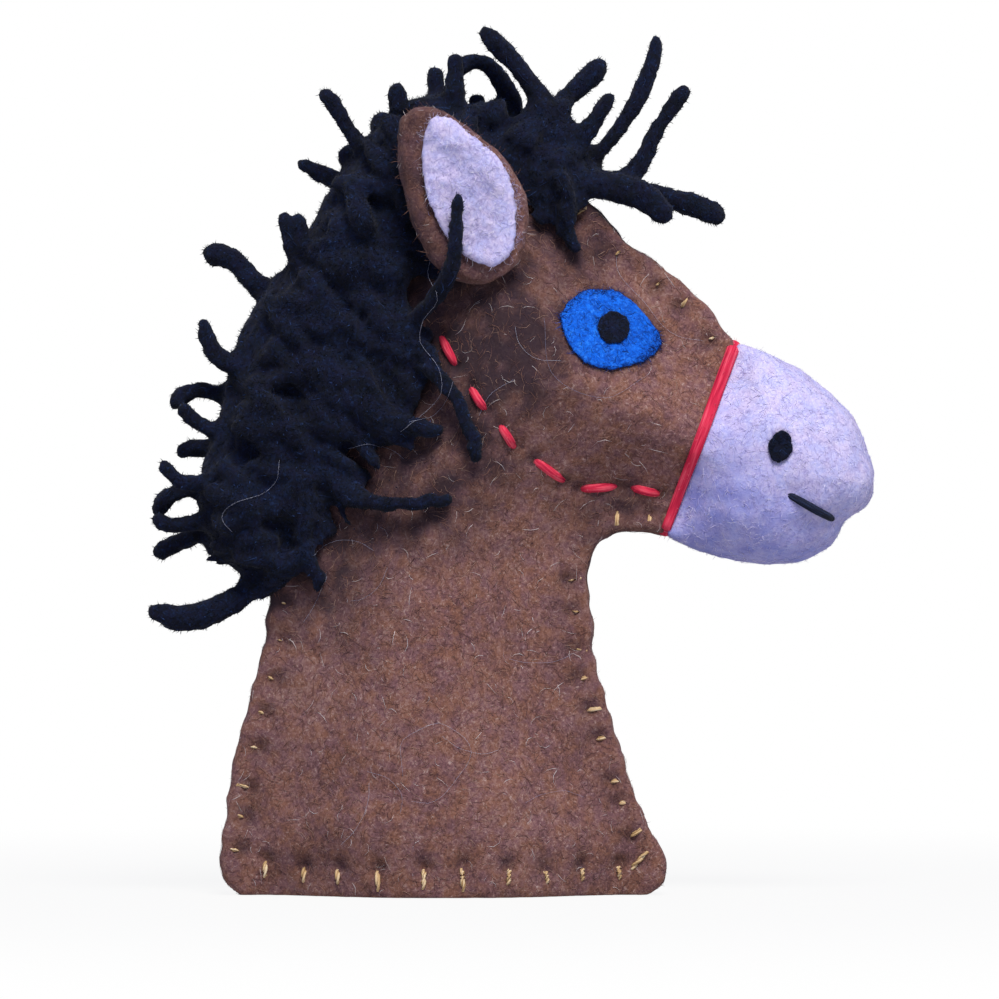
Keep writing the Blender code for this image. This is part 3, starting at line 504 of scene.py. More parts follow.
strap_ends = [((-8.2, 64.2), (-6.4, 60.6)), ((-4.8, 58.2), (-3.0, 55.5)), ((-1.4, 53.9), (0.3, 51.2)),
              ((2.4, 50.0), (6.1, 47.4)), ((7.7, 46.6), (12.1, 46.9)), ((13.6, 46.8), (17.0, 46.0))]
stitch_reach = 2.3
print(len(seam_stitches), "seam stitches,", len(hem_legs), "hem stitches a side")

# %% [markdown]
# ## Body panels
# The two panels are the same felt, 3 mm thick. Their outer faces get the lumps and the pits, while the
# faces that meet in the seam are held back, so the panels never cross. Between stitches the edge stands
# out by a fraction of a millimetre, which gives the scalloped outline of an oversewn edge.

# %% Body panels
panel_voxel, rim_swell = 0.56, 0.14
pit_radius, pit_depth = 0.9, 0.80
notch_radius, notch_depth = 1.2, 0.28
panels, felt, holes = {}, {}, {}
for word, side in SIDES.items():
    panel = soft_copy("body_panel_" + word, "felt_panel_" + word, panel_voxel, 4, brown_wool)
    places, normals = points_of(panel)
    tree = surface_of(panel)
    outer = np.clip(normals[:, 1] * side * 2.0 + 1.0, 0, 1)
    pits = []
    for place, way in seam_stitches:
        hit, _ = onto(tree, *(place + way * stitch_reach), side)
        if hit is not None:
            pits.append(hit)
    for x, _, high in hem_legs:
        pits.append(onto(tree, x, high + 0.4, side)[0])
    for start, end in strap_ends:
        pits += [onto(tree, *start, side)[0], onto(tree, *end, side)[0]]
    edges = [np.array([p[0] * MM, side * 1.6 * MM, p[1] * MM]) for p, _ in seam_stitches]
    shift = lumps(places, [(5.0, 0.30), (1.7, 0.16)], 3.0 * side) * outer
    shift += rim_swell * MM * np.clip(1 - 1.4 * abs(normals[:, 1]), 0, 1)
    shift -= dents(places, pits, pit_radius, pit_depth) * outer
    shift -= dents(places, edges, notch_radius, notch_depth)
    places += normals * shift[:, None]
    places[:, 1] = side * np.maximum(side * places[:, 1], 0.12 * MM)
    places[:, 2] = np.maximum(places[:, 2], 0.05 * MM)
    set_points(panel, places)
    panels[word], felt[word], holes[word] = panel, surface_of(panel), np.array(pits)
    print(panel.name, len(panel.data.polygons), "faces,", len(pits), "pits")

# %% [markdown]
# ## Muzzle
# The muzzle is one lump of lilac wool, worked with a felting needle until it is firm. The needle leaves
# shallow dimples and the wool between them stays full, so the surface is a little hammered. The same copy,
# remesh and smooth make it, with finer voxels because it is pale and shows its form more.

# %% Muzzle
muzzle = soft_copy("muzzle", "felted_muzzle", 0.36, 6, lilac_wool)
places, normals = points_of(muzzle)
tree = surface_of(muzzle)
dimples = []
for side in (NEAR, FAR):
    for mark in ((30.6, 51.4), (31.7, 45.9), (36.9, 43.0)):
        dimples.append(onto(tree, *mark, side)[0])
shift = lumps(places, [(6.0, 0.34), (2.2, 0.16)], 9.0) - dents(places, dimples, 1.4, 0.5)
# How far each point lies in front of the joint with the brown panels, in millimetres
inboard = (places[:, 0] / MM - nose_top[0]) * 0.937 - (places[:, 2] / MM - nose_top[1]) * 0.349
places += normals * (shift * np.clip(inboard / 2.0, 0, 1))[:, None]
set_points(muzzle, places)
felt["muzzle"] = surface_of(muzzle)
print(muzzle.name, len(muzzle.data.polygons), "faces")

# %% [markdown]
# ## Straight shapes that are laid along a line
# A wool roll, a fibre and a yarn are each modelled once, standing straight up and one unit high: a cylinder,
# or a cone for what ends in a point, cut across by subdividing its long edges. Each copy is then bent along
# its own route, as Blender's Curve modifier would do it, but for thousands of copies at once. The gold
# thread is two such plies that wind round each other, so its copies are also turned as they rise.

# %% Straight shapes
def straight_shape(sides, rings, profile, apart=0.0, plies=1, tip=0.5):
    """Points and triangles of an upright unit cylinder or cone, cut into rings and given a profile."""
    bpy.ops.object.select_all(action="DESELECT")
    bpy.ops.mesh.primitive_cone_add(vertices=sides, radius1=0.5, radius2=tip, depth=1, location=(0, 0, 0.5),
                                    end_fill_type="NGON")
    model = bpy.context.object
    bpy.ops.object.transform_apply(location=True)
    bpy.ops.object.mode_set(mode="EDIT")
    bpy.ops.mesh.select_all(action="DESELECT")
    body = bmesh.from_edit_mesh(model.data)
    for edge in body.edges:
        edge.select = abs(edge.verts[0].co.z - edge.verts[1].co.z) > 0.5
    bmesh.update_edit_mesh(model.data)
    if rings > 1:
        bpy.ops.mesh.subdivide(number_cuts=rings - 1)
    bpy.ops.mesh.select_all(action="SELECT")
    bpy.ops.mesh.quads_convert_to_tris()
    bpy.ops.object.mode_set(mode="OBJECT")
    points = np.array([v.co[:] for v in model.data.vertices])
    faces = np.array([p.vertices[:] for p in model.data.polygons])
    bpy.data.objects.remove(model)
    points[:, :2] *= np.array([profile(z) for z in points[:, 2]])[:, None]
    if plies > 1:
        sets = []
        for ply in range(plies):
            turn = 2 * math.pi * ply / plies
            aside = (apart / 2 * math.cos(turn), apart / 2 * math.sin(turn), 0)
            sets.append(points * (1 - apart, 1 - apart, 1) + aside)
        faces = np.vstack([faces + len(points) * ply for ply in range(plies)])
        points = np.vstack(sets)
    return points, faces


def lay_copies(shape, routes, widths, up, turns=0.0, flat=1.0):
    """Copies of a straight shape bent along routes, with each point's unbent place in millimetres."""
    points, _ = shape
    routes = np.asarray(routes, float)
    count, steps = routes.shape[:2]
    along = np.gradient(routes, axis=1)
    along /= np.linalg.norm(along, axis=2)[..., None] + 1e-12
    across = np.cross(np.broadcast_to(up, routes.shape), along)
    across /= np.linalg.norm(across, axis=2)[..., None] + 1e-12
    rise = np.cross(along, across)
    widths = np.broadcast_to(np.asarray(widths, float).reshape(count, -1), (count, steps))
    height = points[:, 2] * (steps - 1)
    low = np.minimum(height.astype(int), steps - 2)
    part = (height - low)[None, :, None]

    def at(values):
        """Values at every point of the shape, between the route's own."""
        return values[:, low] * (1 - part) + values[:, low + 1] * part

    turn = 2 * math.pi * np.asarray(turns, float).reshape(-1, 1) * points[None, :, 2]
    x = points[:, 0] * np.cos(turn) - points[:, 1] * np.sin(turn)
    y = points[:, 0] * np.sin(turn) + points[:, 1] * np.cos(turn)
    wide = at(widths[..., None])
    made = at(routes) + wide * (x[..., None] * at(across) + flat * y[..., None] * at(rise))
    lengths = np.linalg.norm(np.diff(routes, axis=1), axis=2).sum(axis=1)
    grain = np.empty_like(made)
    grain[..., :2] = points[None, :, :2] * wide / MM
    grain[..., 2] = points[None, :, 2] * lengths[:, None] / MM
    grain += np.arange(count)[:, None, None] * 7.3
    return made, grain


def mesh_of_copies(name, shape, laid, finish, tints=None):
    """One object from the laid copies of a shape, given as their points and their grain."""
    made, grain = laid
    count, size = made.shape[:2]
    faces = (shape[1][None] + (np.arange(count) * size)[:, None, None]).reshape(-1, 3)
    mesh = bpy.data.meshes.new(name)
    mesh.vertices.add(count * size)
    mesh.vertices.foreach_set("co", made.astype(np.float32).ravel())
    mesh.loops.add(faces.size)
    mesh.loops.foreach_set("vertex_index", faces.astype(np.int32).ravel())
    mesh.polygons.add(len(faces))
    mesh.polygons.foreach_set("loop_start", np.arange(len(faces), dtype=np.int32) * 3)
    mesh.update(calc_edges=True)
    grown = mesh.attributes.new("grain", "FLOAT_VECTOR", "POINT")
    grown.data.foreach_set("vector", grain.astype(np.float32).ravel())
    if tints is not None:
        tint = mesh.attributes.new("tint", "FLOAT", "POINT")
        tint.data.foreach_set("value", np.repeat(tints, size).astype(np.float32))
    piece = bpy.data.objects.new(name, mesh)
    bpy.context.scene.collection.objects.link(piece)
    dress(piece, finish)
    return piece


def rounded_tip(z):
    """As wide as it is all the way up, and round at the top."""
    return 1.0 if z < 0.88 else math.sqrt(max(0.2, 1 - ((z - 0.88) / 0.13) ** 2))


roll_shape = straight_shape(8, 20, rounded_tip)
hair_shape = straight_shape(3, 3, lambda z: 1.0 + 1.2 * z, tip=0.0)
short_shape = straight_shape(3, 2, lambda z: 1.0 + 1.2 * z, tip=0.0)
needle_shape = straight_shape(3, 1, lambda z: 1.0, tip=0.0)
yarn_shape = straight_shape(10, 18, lambda z: 0.45 + 0.55 * math.sin(math.pi * (0.1 + 0.8 * z)) ** 0.5)
strip_shape = straight_shape(10, 120, lambda z: 1.0)
thread_shape = straight_shape(5, 10, lambda z: 1.0, apart=0.40, plies=2)
print("roll", len(roll_shape[1]), "hair", len(hair_shape[1]), "yarn", len(yarn_shape[1]), "triangles a copy")

# %% [markdown]
# ## Red bridle
# One turn of red yarn covers the joint of brown and lilac, and a running stitch of the same yarn crosses
# the cheek. Each stitch goes down into the felt at both ends, so its route starts and ends below the
# surface, and is fullest in its middle. The noseband is pressed flat, half as thick as it is wide.

# %% Noseband and cheek strap
def normals_up(side, routes):
    """The direction away from the felt, for routes on one side."""
    return np.broadcast_to(np.array([0.0, side, 0.0]), np.asarray(routes).shape)


def stitch_route(tree, start, end, side, steps, sunk, lift):
    """A route between two points of a surface that dips into it at both ends."""
    made = []
    for share in np.linspace(0, 1, steps):
        x, z = np.array(start) * (1 - share) + np.array(end) * share
        rise = math.sin(math.pi * share) ** 0.5
        made.append(onto(tree, x, z, side, -sunk + (lift + sunk) * rise)[0])
    return np.array(made)


top, bottom = np.array(nose_top), np.array(nose_bottom)
down = (bottom - top) / np.linalg.norm(bottom - top)
both = surface_of(panels["near"], panels["far"], muzzle)


def band_side(side):
    """The noseband's run down one side of the face."""
    run = []
    for share in np.linspace(0.03, 0.97, 26):
        x, z = top + (bottom - top) * share
        hits = [onto(both, x + shift, z, side)[0] for shift in (-0.6, 0.0, 0.6)]
        depth = max([side * h[1] for h in hits if h is not None] + [2.2 * MM])
        run.append((x * MM, side * (depth + 0.18 * MM), z * MM))
    return run


near_run, far_run = band_side(NEAR), band_side(FAR)


def band_end(place, way, first):
    """The noseband's turn over the edge, at one end of the joint."""
    reach = [-0.9, -0.3, -0.1, -0.3, -0.9]
    depth = [-2.6, -1.7, 0.0, 1.7, 2.6]
    turn = [((place[0] + way[0] * r) * MM, y * MM, (place[1] + way[1] * r) * MM)
            for r, y in zip(reach, depth)]
    return turn if first == NEAR else turn[::-1]


loop = far_run[::-1] + band_end(top, -down, FAR) + near_run + band_end(bottom, down, NEAR) + far_run[-1:]
band_route = smooth_route(np.array(loop), 150)
middle = np.array([21.5 * MM, 0.0, 52.4 * MM])
spread = band_route - middle
spread -= (spread @ np.array([down[0], 0, down[1]]))[:, None] * np.array([down[0], 0, down[1]]) * 0.93
band_width = (1.15 + 0.40 * (band_route[:, 2] / MM - 41.4) / 22.0) * MM
laid = lay_copies(strip_shape, band_route[None], band_width[None], spread[None], flat=0.55)
noseband = mesh_of_copies("red_noseband", strip_shape, laid, red_band)
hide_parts("noseband")

straps = {}
for word, side in SIDES.items():
    routes = np.array([stitch_route(felt[word], *ends, side, 14, 0.60, 0.16) for ends in strap_ends])
    lengths = np.linalg.norm(routes[:, -1] - routes[:, 0], axis=1) / MM
    laid = lay_copies(yarn_shape, routes, [1.05 * MM] * 6, normals_up(side, routes), flat=0.8)
    strap = mesh_of_copies("cheek_strap_" + word, yarn_shape, laid, red_yarn)
    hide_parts(*["strap_stitch_" + word + "_" + str(n) for n in range(1, 7)])
    straps[word] = routes
    print(strap.name, len(strap.data.polygons), "triangles, stitches of", lengths.round(1), "mm")

# %% [markdown]
# ## Eyes, nostrils and mouth
# These are small tufts of coloured wool, needled onto the face. They are made from their solids as the
# panels are, with fine voxels, and pressed down to less than half their height, since the needle drives them
# in. Later each one gets a fringe of its own fibres, caught in the felt around it. The mouth is one stitch
# of thick dark thread.

# %% Eyes, pupils, nostrils and mouth
def press_down(piece, tree, side, share):
    """Brings what stands off the felt down to a share of its height over it."""
    places, _ = points_of(piece)
    for place in places:
        hit, _ = onto(tree, place[0] / MM, place[2] / MM, side)
        if hit is not None and side * (place[1] - hit[1]) > 0:
            place[1] = hit[1] + share * (place[1] - hit[1])
    set_points(piece, places)


tufts = {}
for word, side in SIDES.items():
    for node, name, voxel, finish, slot_name in (
            ("eye_", "eye_wool_", 0.24, blue_wool, "blue_felt"),
            ("pupil_", "pupil_wool_", 0.18, black_wool, "black_wool"),
            ("nostril_", "nostril_wool_", 0.16, black_wool, "black_wool")):
        tuft = soft_copy(node + word, name + word, voxel, 22, finish)
        roughen(tuft, [(1.3, 0.14), (0.5, 0.07)], 5.0, 0.10)
        press_down(tuft, felt["muzzle" if node == "nostril_" else word], side, 0.45)
        tufts[node + word] = tuft
    route = stitch_route(felt["muzzle"], (31.5, 46.0), (37.0, 43.0), side, 12, 0.5, 0.30)
    laid = lay_copies(yarn_shape, route[None], [1.0 * MM], normals_up(side, route[None]))
    mouth = mesh_of_copies("mouth_thread_" + word, yarn_shape, laid, navy_thread)
    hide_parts("mouth_stitch_" + word)
    print(word, "face done,", len(tufts["eye_" + word].data.polygons), "faces in the eye")

# %% [markdown]
# ## Ears
# An ear is a leaf of brown felt, cupped so that its rim stands up, with lilac wool needled into the hollow.
# Both come from their solids. In front and at the tip the lining is spread by nearly a millimetre, so that
# it climbs the rim. The rim stays plain here, because its look is mostly fuzz, which comes last.

# %% Ears
for word, side in SIDES.items():
    ear = soft_copy("ear_" + word, "felt_ear_" + word, 0.34, 12, brown_wool)
    lining = soft_copy("ear_lining_" + word, "ear_lining_wool_" + word, 0.28, 10, lilac_wool)
    places, normals = points_of(lining)
    spread = np.clip(normals[:, [0, 2]] @ (0.8, 0.6), 0, 1) * 0.95 * MM
    places[:, 0] += 0.8 * spread
    places[:, 2] += 0.6 * spread
    under = surface_of(ear)
    for place, normal, moved in zip(places, normals, spread):
        hit, _ = onto(under, place[0] / MM, place[2] / MM, side, 0.16)
        if hit is not None and moved > 0.05 * MM and normal[1] * side > -0.3:
            place[1] = side * max(side * place[1], side * hit[1])
    set_points(lining, places)
    roughen(ear, [(3.0, 0.22), (1.2, 0.14)], 2.0)
    roughen(lining, [(2.6, 0.14), (0.9, 0.12)], 2.0, 0.1)
    tufts[ear.name], tufts[lining.name] = ear, lining
    print(ear.name, len(ear.data.polygons), "faces;", lining.name, len(lining.data.polygons), "faces")

# %% [markdown]
# ## Stuffing
# The wool inside the head is seen only from below, down the finger pocket. Its solid has the right shape
# already, so it just takes the fleece material.

# %% Stuffing
stuffing = soft_copy("head_stuffing", "fleece_stuffing", 0.9, 2, white_fleece)
print(stuffing.name, len(stuffing.data.polygons), "faces")

# %% [markdown]
# ## Mane
# The mane is wool wetted and rolled between the hands into soft rolls about 2 mm thick, with their roots
# matted together. The rolls that stand clear are placed one by one, since they make the outline. The others
# are laid over a soft copy of the solid mane in rows, each with its own bend. Then all of them are joined
# and remeshed as one skin, so that rolls that touch grow together as felted wool does. The skin is swollen
# by 0.2 mm, remeshed again and drawn back, which closes the narrow gaps. One round of smoothing softens the
# webs between the rolls, and fine noise roughens it.

# %% Matted wool under the rolls
mane = soft_copy("mane", "matted_mane", 0.6, 3, black_wool)
roughen(mane, [(2.4, 0.35), (0.9, 0.2)], 4.0, -0.35)
cover = surface_of(mane, panels["near"], panels["far"])
print(mane.name, len(mane.data.polygons), "faces before the rolls")

# %% The rolls that stand clear
# For each roll: its width, how deep its root and its tip lie, and its line in the picture
free_rolls = [
    (2.4, -1.5, -3.0, [(4.0, 84.5), (3.6, 90.5), (0.3, 95.4), (-3.3, 99.1)]),
    (2.2, 2.0, 1.0, [(0.5, 86.0), (0.0, 91.0), (-2.2, 94.9), (-4.6, 96.0), (-6.4, 94.4)]),
    (2.6, -0.5, 0.5, [(3.8, 84.5), (5.2, 90.2), (7.8, 92.9), (10.4, 95.6)]),
    (2.1, -2.5, -4.5, [(4.8, 83.5), (7.4, 86.3), (9.5, 88.8), (11.2, 91.6)]),
    (1.9, 1.5, 3.5, [(5.5, 82.0), (8.8, 83.9), (13.0, 89.1), (15.7, 94.2), (16.8, 98.7)]),
    (2.0, -1.0, -2.5, [(9.4, 81.6), (13.9, 82.8), (16.4, 87.5), (18.2, 90.2), (20.0, 92.6)]),
    (3.2, -2.5, -4.0, [(4.5, 82.0), (10.1, 81.4), (13.9, 80.6), (16.4, 79.1), (17.8, 77.5)]),
    (2.7, 1.5, 0.5, [(7.5, 82.0), (14.7, 80.8), (20.5, 79.4), (24.2, 77.8)]),
    (2.0, 3.0, 5.0, [(-3.0, 85.6), (-4.1, 91.8)]),
    (2.3, -2.0, -2.5, [(-6.4, 86.5), (-6.6, 92.0), (-6.4, 96.2)]),
    (2.3, 2.0, 3.0, [(-8.3, 86.7), (-8.9, 94.9)]),
    (2.3, -1.0, -3.5, [(-12.3, 84.5), (-13.3, 92.8)]),
    (1.9, -2.0, -4.5, [(-15.0, 83.0), (-18.5, 87.4), (-19.9, 90.0), (-21.6, 92.1)]),
    (1.9, 2.0, 3.5, [(-15.2, 80.8), (-20.4, 82.3), (-22.6, 83.3), (-24.6, 84.3)]),
    (2.6, 0.5, 0.0, [(-11.8, 83.0), (-15.4, 89.4)]),
    (2.8, -0.5, 0.5, [(-14.6, 79.6), (-19.4, 85.6)]),
    (1.8, -3.0, -4.5, [(-22.6, 68.0), (-24.9, 73.0), (-26.3, 78.0)]),
    (1.8, -3.4, -5.0, [(-21.6, 68.0), (-23.5, 73.0), (-24.4, 78.0)]),
    (2.7, 1.0, 2.5, [(-24.4, 66.4), (-29.5, 70.2), (-32.2, 73.0), (-35.2, 73.8)]),
    (2.1, -2.0, -3.5, [(-26.5, 58.6), (-32.6, 61.0), (-34.8, 63.4), (-35.4, 65.8)]),
    (2.1, 2.0, 0.0, [(-26.0, 55.6), (-31.4, 56.8), (-34.6, 57.8), (-37.2, 57.8), (-38.9, 56.2)]),
    (1.8, -1.0, -2.0, [(-28.0, 52.6), (-32.5, 53.0), (-35.4, 53.8), (-38.0, 56.0)]),
    (2.0, 2.5, 4.0, [(-29.0, 51.2), (-35.9, 51.4), (-38.6, 50.9)]),
    (1.9, -2.5, -4.5, [(-31.0, 48.0), (-36.6, 47.2), (-38.8, 48.0), (-40.0, 49.6)]),
    (2.0, 1.0, 0.5, [(-32.0, 46.8), (-37.4, 46.6), (-39.9, 45.4), (-40.8, 43.8)]),
    (2.0, -1.0, -2.0, [(-31.0, 43.6), (-35.9, 42.8), (-39.4, 42.4), (-40.9, 43.4)]),
    (2.2, 2.0, 3.0, [(-31.0, 42.6), (-37.0, 41.0), (-39.3, 40.1), (-41.0, 39.0)]),
    (2.9, -1.5, -3.5, [(-28.4, 38.2), (-30.6, 34.7), (-35.2, 32.3), (-38.6, 31.8), (-41.3, 32.7)]),
    (2.6, -3.4, -3.0, [(-25.6, 40.0), (-27.0, 36.6), (-29.6, 34.6)]),
    (2.6, 3.4, 3.0, [(-25.6, 40.0), (-27.0, 36.6), (-29.6, 34.6)]),
]
# The ones that lie on the face and the neck, the same on both sides: width and line
draped_rolls = [
    (1.9, [(-13.0, 64.5), (-10.2, 62.4), (-8.4, 59.6), (-6.6, 56.8), (-5.0, 54.0), (-4.6, 49.6)]),
    (2.1, [(-17.5, 56.4), (-13.0, 54.2), (-7.4, 52.9)]),
    (1.9, [(-23.0, 49.4), (-20.4, 47.8), (-16.6, 45.1), (-11.6, 45.0), (-6.7, 45.3)]),
    (1.9, [(-25.8, 47.0), (-24.4, 44.0), (-23.4, 39.3), (-22.0, 34.8)]),
    (2.1, [(5.4, 82.6), (6.2, 78.0), (7.0, 73.6)]),
]
# The one that hangs over the ear, with its depth
ear_roll = [(-14.0, -5.0, 64.0), (-9.4, -9.6, 67.6), (-6.8, -13.0, 72.0), (-6.3, -13.5, 76.8),
            (-6.1, -14.0, 80.4)]
STEPS = 20
roll_routes, roll_widths = [], []
for width, root_y, tip_y, route in free_rolls:
    end = np.array(route[-1]) - np.array(route[-2])
    line = smooth_route(route[:-1] + [tuple(np.array(route[-1]) + 0.35 * end / np.linalg.norm(end))], STEPS)
    roll_routes.append(np.column_stack([line[:, 0], np.linspace(root_y, tip_y, STEPS), line[:, 1]]) * MM)
    roll_widths.append(width + 0.12)
for side in (NEAR, FAR):
    for width, route in draped_rolls:
        line = np.array([onto(cover, x, z, side, 0.42 * width)[0] for x, z in smooth_route(route, STEPS)])
        for _ in range(3):
            line[1:-1, 1] = (line[:-2, 1] + line[1:-1, 1] + line[2:, 1]) / 3
        roll_routes.append(line)
        roll_widths.append(width)
    line = smooth_route(ear_roll, STEPS) * MM
    roll_routes.append(line * (1, -side, 1))
    roll_widths.append(1.9)
print(len(roll_routes), "rolls placed one by one")

# %% The rolls laid in rows
crest = smooth_route([(-27.5, 37.0), (-24.5, 48.0), (-19.2, 61.4), (-14.6, 71.5), (-10.8, 79.8),
                      (-5.2, 85.0), (1.2, 85.3), (6.0, 82.0)], 200)
crest_along = np.gradient(crest, axis=0)
crest_out = np.column_stack([-crest_along[:, 1], crest_along[:, 0]])
crest_out /= np.linalg.norm(crest_out, axis=1)[:, None]


def turned(way, angle):
    """A direction in the picture's plane, turned by an angle."""
    return np.array([way[0] * math.cos(angle) - way[1] * math.sin(angle),
                     way[0] * math.sin(angle) + way[1] * math.cos(angle)])


def laid_route(start, way, reach, side, curl, lift):
    """A route over the mat from a root. Past the edge it keeps its depth, for a millimetre at most."""
    place, way = np.array(start, float), np.array(way, float)
    made, depth, past = [], None, 0.0
    for step in range(STEPS):
        hit, _ = onto(cover, *place, side)
        found = side * hit[1] / MM if hit is not None else None
        past += reach / STEPS if found is None else 0.0
        if past > 1.0 and reach > 3.0:
            return laid_route(start, turned(way, -curl * step / STEPS), reach * 0.85, side, curl, lift)
        depth = found if depth is None else (depth * 0.94 if found is None else max(found, depth - 0.25))
        if depth is None:
            return None
        rise = lift * min(1.0, step / 4 + 0.2)
        made.append((place[0] * MM, side * (depth + rise) * MM, place[1] * MM))
        way = turned(way, curl / STEPS)
        place = place + way * reach / STEPS
    return np.array(made)


# For each row, from the neck outwards: its distance from the crest, its rolls, their reach and their lift
row_plan = [(-2.6, 26, 9.6, 0.50), (0.4, 24, 9.6, 0.70), (3.2, 20, 7.4, 0.9)]
rows = 0
for side in (NEAR, FAR):
    for row, (offset, count, reach, lift) in enumerate(row_plan):
        for number in range(count):
            at = int((number + chance.uniform(0.1, 0.9)) / count * 196) + 1
            out = crest_out[at]
            way = turned(out, chance.uniform(-1.1, 0.8) + (0.25 if at < 70 else -0.1))
            route = laid_route(crest[at] + out * offset, way, reach * chance.uniform(0.75, 1.15), side,
                               chance.uniform(-1.0, 1.0), lift * chance.uniform(0.5, 1.8))
            if route is not None and not (at > 150 and row < 1):
                roll_routes.append(route)
                roll_widths.append(chance.uniform(1.6, 2.6))
                rows += 1
    for number in range(16):
        at = int((0.10 + 0.58 * (number + chance.uniform(0.2, 0.8)) / 16) * 199)
        way = turned(-crest_out[at] + np.array([0.0, -0.35]), chance.uniform(-0.4, 0.4))
        reach = 5.5 + 3.5 * math.sin(math.pi * number / 15)
        route = laid_route(crest[at] - crest_out[at] * 1.0, way / np.linalg.norm(way), reach, side,
                           chance.uniform(-0.5, 0.5), 0.5)
        if route is not None:
            roll_routes.append(route)
            roll_widths.append(chance.uniform(1.6, 2.1))
            rows += 1
print(rows, "rolls laid in rows")

# %% One matted skin from all the rolls
roll_routes = np.array(roll_routes)
roll_count = len(roll_routes)
roll_widths = np.array(roll_widths)
waves = np.sin(np.linspace(0, 9, STEPS)[None] + chance.uniform(0, 6, roll_count)[:, None])
taper = np.linspace(1.10, 0.94, STEPS)[None] * (1 + 0.10 * waves)
roll_up = np.broadcast_to(np.array([0.31, 0.17, 0.0]), roll_routes.shape)
laid = lay_copies(roll_shape, roll_routes, roll_widths[:, None] * MM * taper, roll_up)
rolls = mesh_of_copies("mane_rolls", roll_shape, laid, black_wool)
solo(mane)
rolls.select_set(True)
bpy.ops.object.join()
for swell in (0.18, -0.18):
    apply_modifier(mane, "REMESH", mode="VOXEL", voxel_size=0.40 * MM)
    places, normals = points_of(mane)
    set_points(mane, places + normals * swell * MM)
apply_modifier(mane, "SMOOTH", factor=0.5, iterations=1)
roughen(mane, [(1.6, 0.16), (0.7, 0.20)], 6.0)
mane.data.shade_smooth()
felt["mane"] = surface_of(mane)
print(mane.name, roll_count, "rolls,", len(mane.data.polygons), "faces")

# %% [markdown]
# ## Dark wool worked in, and painted shade
# Where the mane and the ears were needled on, black wool was carried into the brown felt, and the same
# darkening paints the shade that the mane and the ear cast below them. The temple is darker by both, the jaw
# and each pit by painted shade alone, and low on the muzzle a painted blue-violet shade darkens the lilac.
# How much of the dark colour is in the felt is kept on each point, in an attribute that the felt material
# mixes in. Each dark place fades with the distance from it, and noise makes its edge uneven.

# %% Dark wool and painted shade in the felt
# Centres of the darker temple, with worked-in black wool and painted shade below the ear, and of the painted
# shade on the jaw
temple_wool_and_shade_spot, jaw_shade_spot = (-1.5, 62.8), (11.5, 43.2)


def work_in(piece, share):
    """Keeps on each point how much of the dark colour is mixed in there, for worked-in wool and painted shade
    alike.
    """
    places, _ = points_of(piece)
    uneven = 1 + lumps(places, [(3.0, 0.6), (1.2, 0.4)], 8.0) / MM
    dark_layer = piece.data.attributes.new("dark_wool_and_shade", "FLOAT", "POINT")
    dark_layer.data.foreach_set("value", np.clip(share(places) * uneven, 0, 0.9).astype(np.float32))
    print(piece.name, "mean share of wool worked in", round(float(share(places).mean()), 3))


def fading(share, gap, reach, power=2):
    """A share that is full where the gap is none and fades over its reach, both in millimetres."""
    return share * np.exp(-(gap / reach) ** power)


def to_surface(tree, places):
    """How far each point is from a surface, in millimetres."""
    return np.array([tree.find_nearest(Vector(p))[3] for p in places]) / MM


for word, side in SIDES.items():
    ear, eye = surface_of(tufts["felt_ear_" + word]), surface_of(tufts["eye_" + word])

    def near_black(places):
        """Dark by the mane, round the ear's foot and on the temple from worked-in black wool and painted shade,
        round the eye from dark wool, and on the jaw and in the pits from painted shade.
        """
        picture = places[:, [0, 2]] / MM
        to_pit = np.array([np.linalg.norm(holes[word] - p, axis=1).min() for p in places]) / MM
        return np.maximum.reduce([
            # By the mane and round the ear's foot: worked-in black wool and painted shade under them
            fading(0.78, to_surface(felt["mane"], places), 5.5),
            fading(0.74, to_surface(ear, places), 6.5),
            fading(0.50, to_surface(eye, places), 0.9),
            # The temple: worked-in black wool and painted shade below the ear
            fading(1.05, np.linalg.norm(picture - temple_wool_and_shade_spot, axis=1), 9.5, 3),
            # The jaw: painted shade on its underside
            fading(0.62, np.linalg.norm(picture - jaw_shade_spot, axis=1), 5.5),
            # In and round the stitch pits: painted shade
            fading(0.80, to_pit, 1.0),
            (picture[:, 1] < 38) * fading(0.25, to_pit, 2.6)])

    work_in(panels[word], near_black)
    # The ear's own felt is darker towards its back
    work_in(tufts["felt_ear_" + word], lambda places: 0.42 - 0.03 * (places[:, 0] / MM + 8.0))


def blue_below(places):
    """Painted blue-violet shade on the muzzle: stronger the lower, and less towards the nose."""
    return 0.55 * np.clip((61.0 - places[:, 2] / MM - 0.75 * (places[:, 0] / MM - 22.0)) / 15.0, 0, 1)


# Painted blue-violet shade low on the muzzle
work_in(muzzle, blue_below)

# %% [markdown]
# ## Gold thread
# The panels are oversewn with gold thread: each stitch comes out of a pit near the edge, goes over the edge
# and into the other panel. Along the hem the stitches stand upright, and a strand runs from one to the next
# just above the bottom edge, mostly sunk in the wool. Thread is two fine plies with a tight twist.

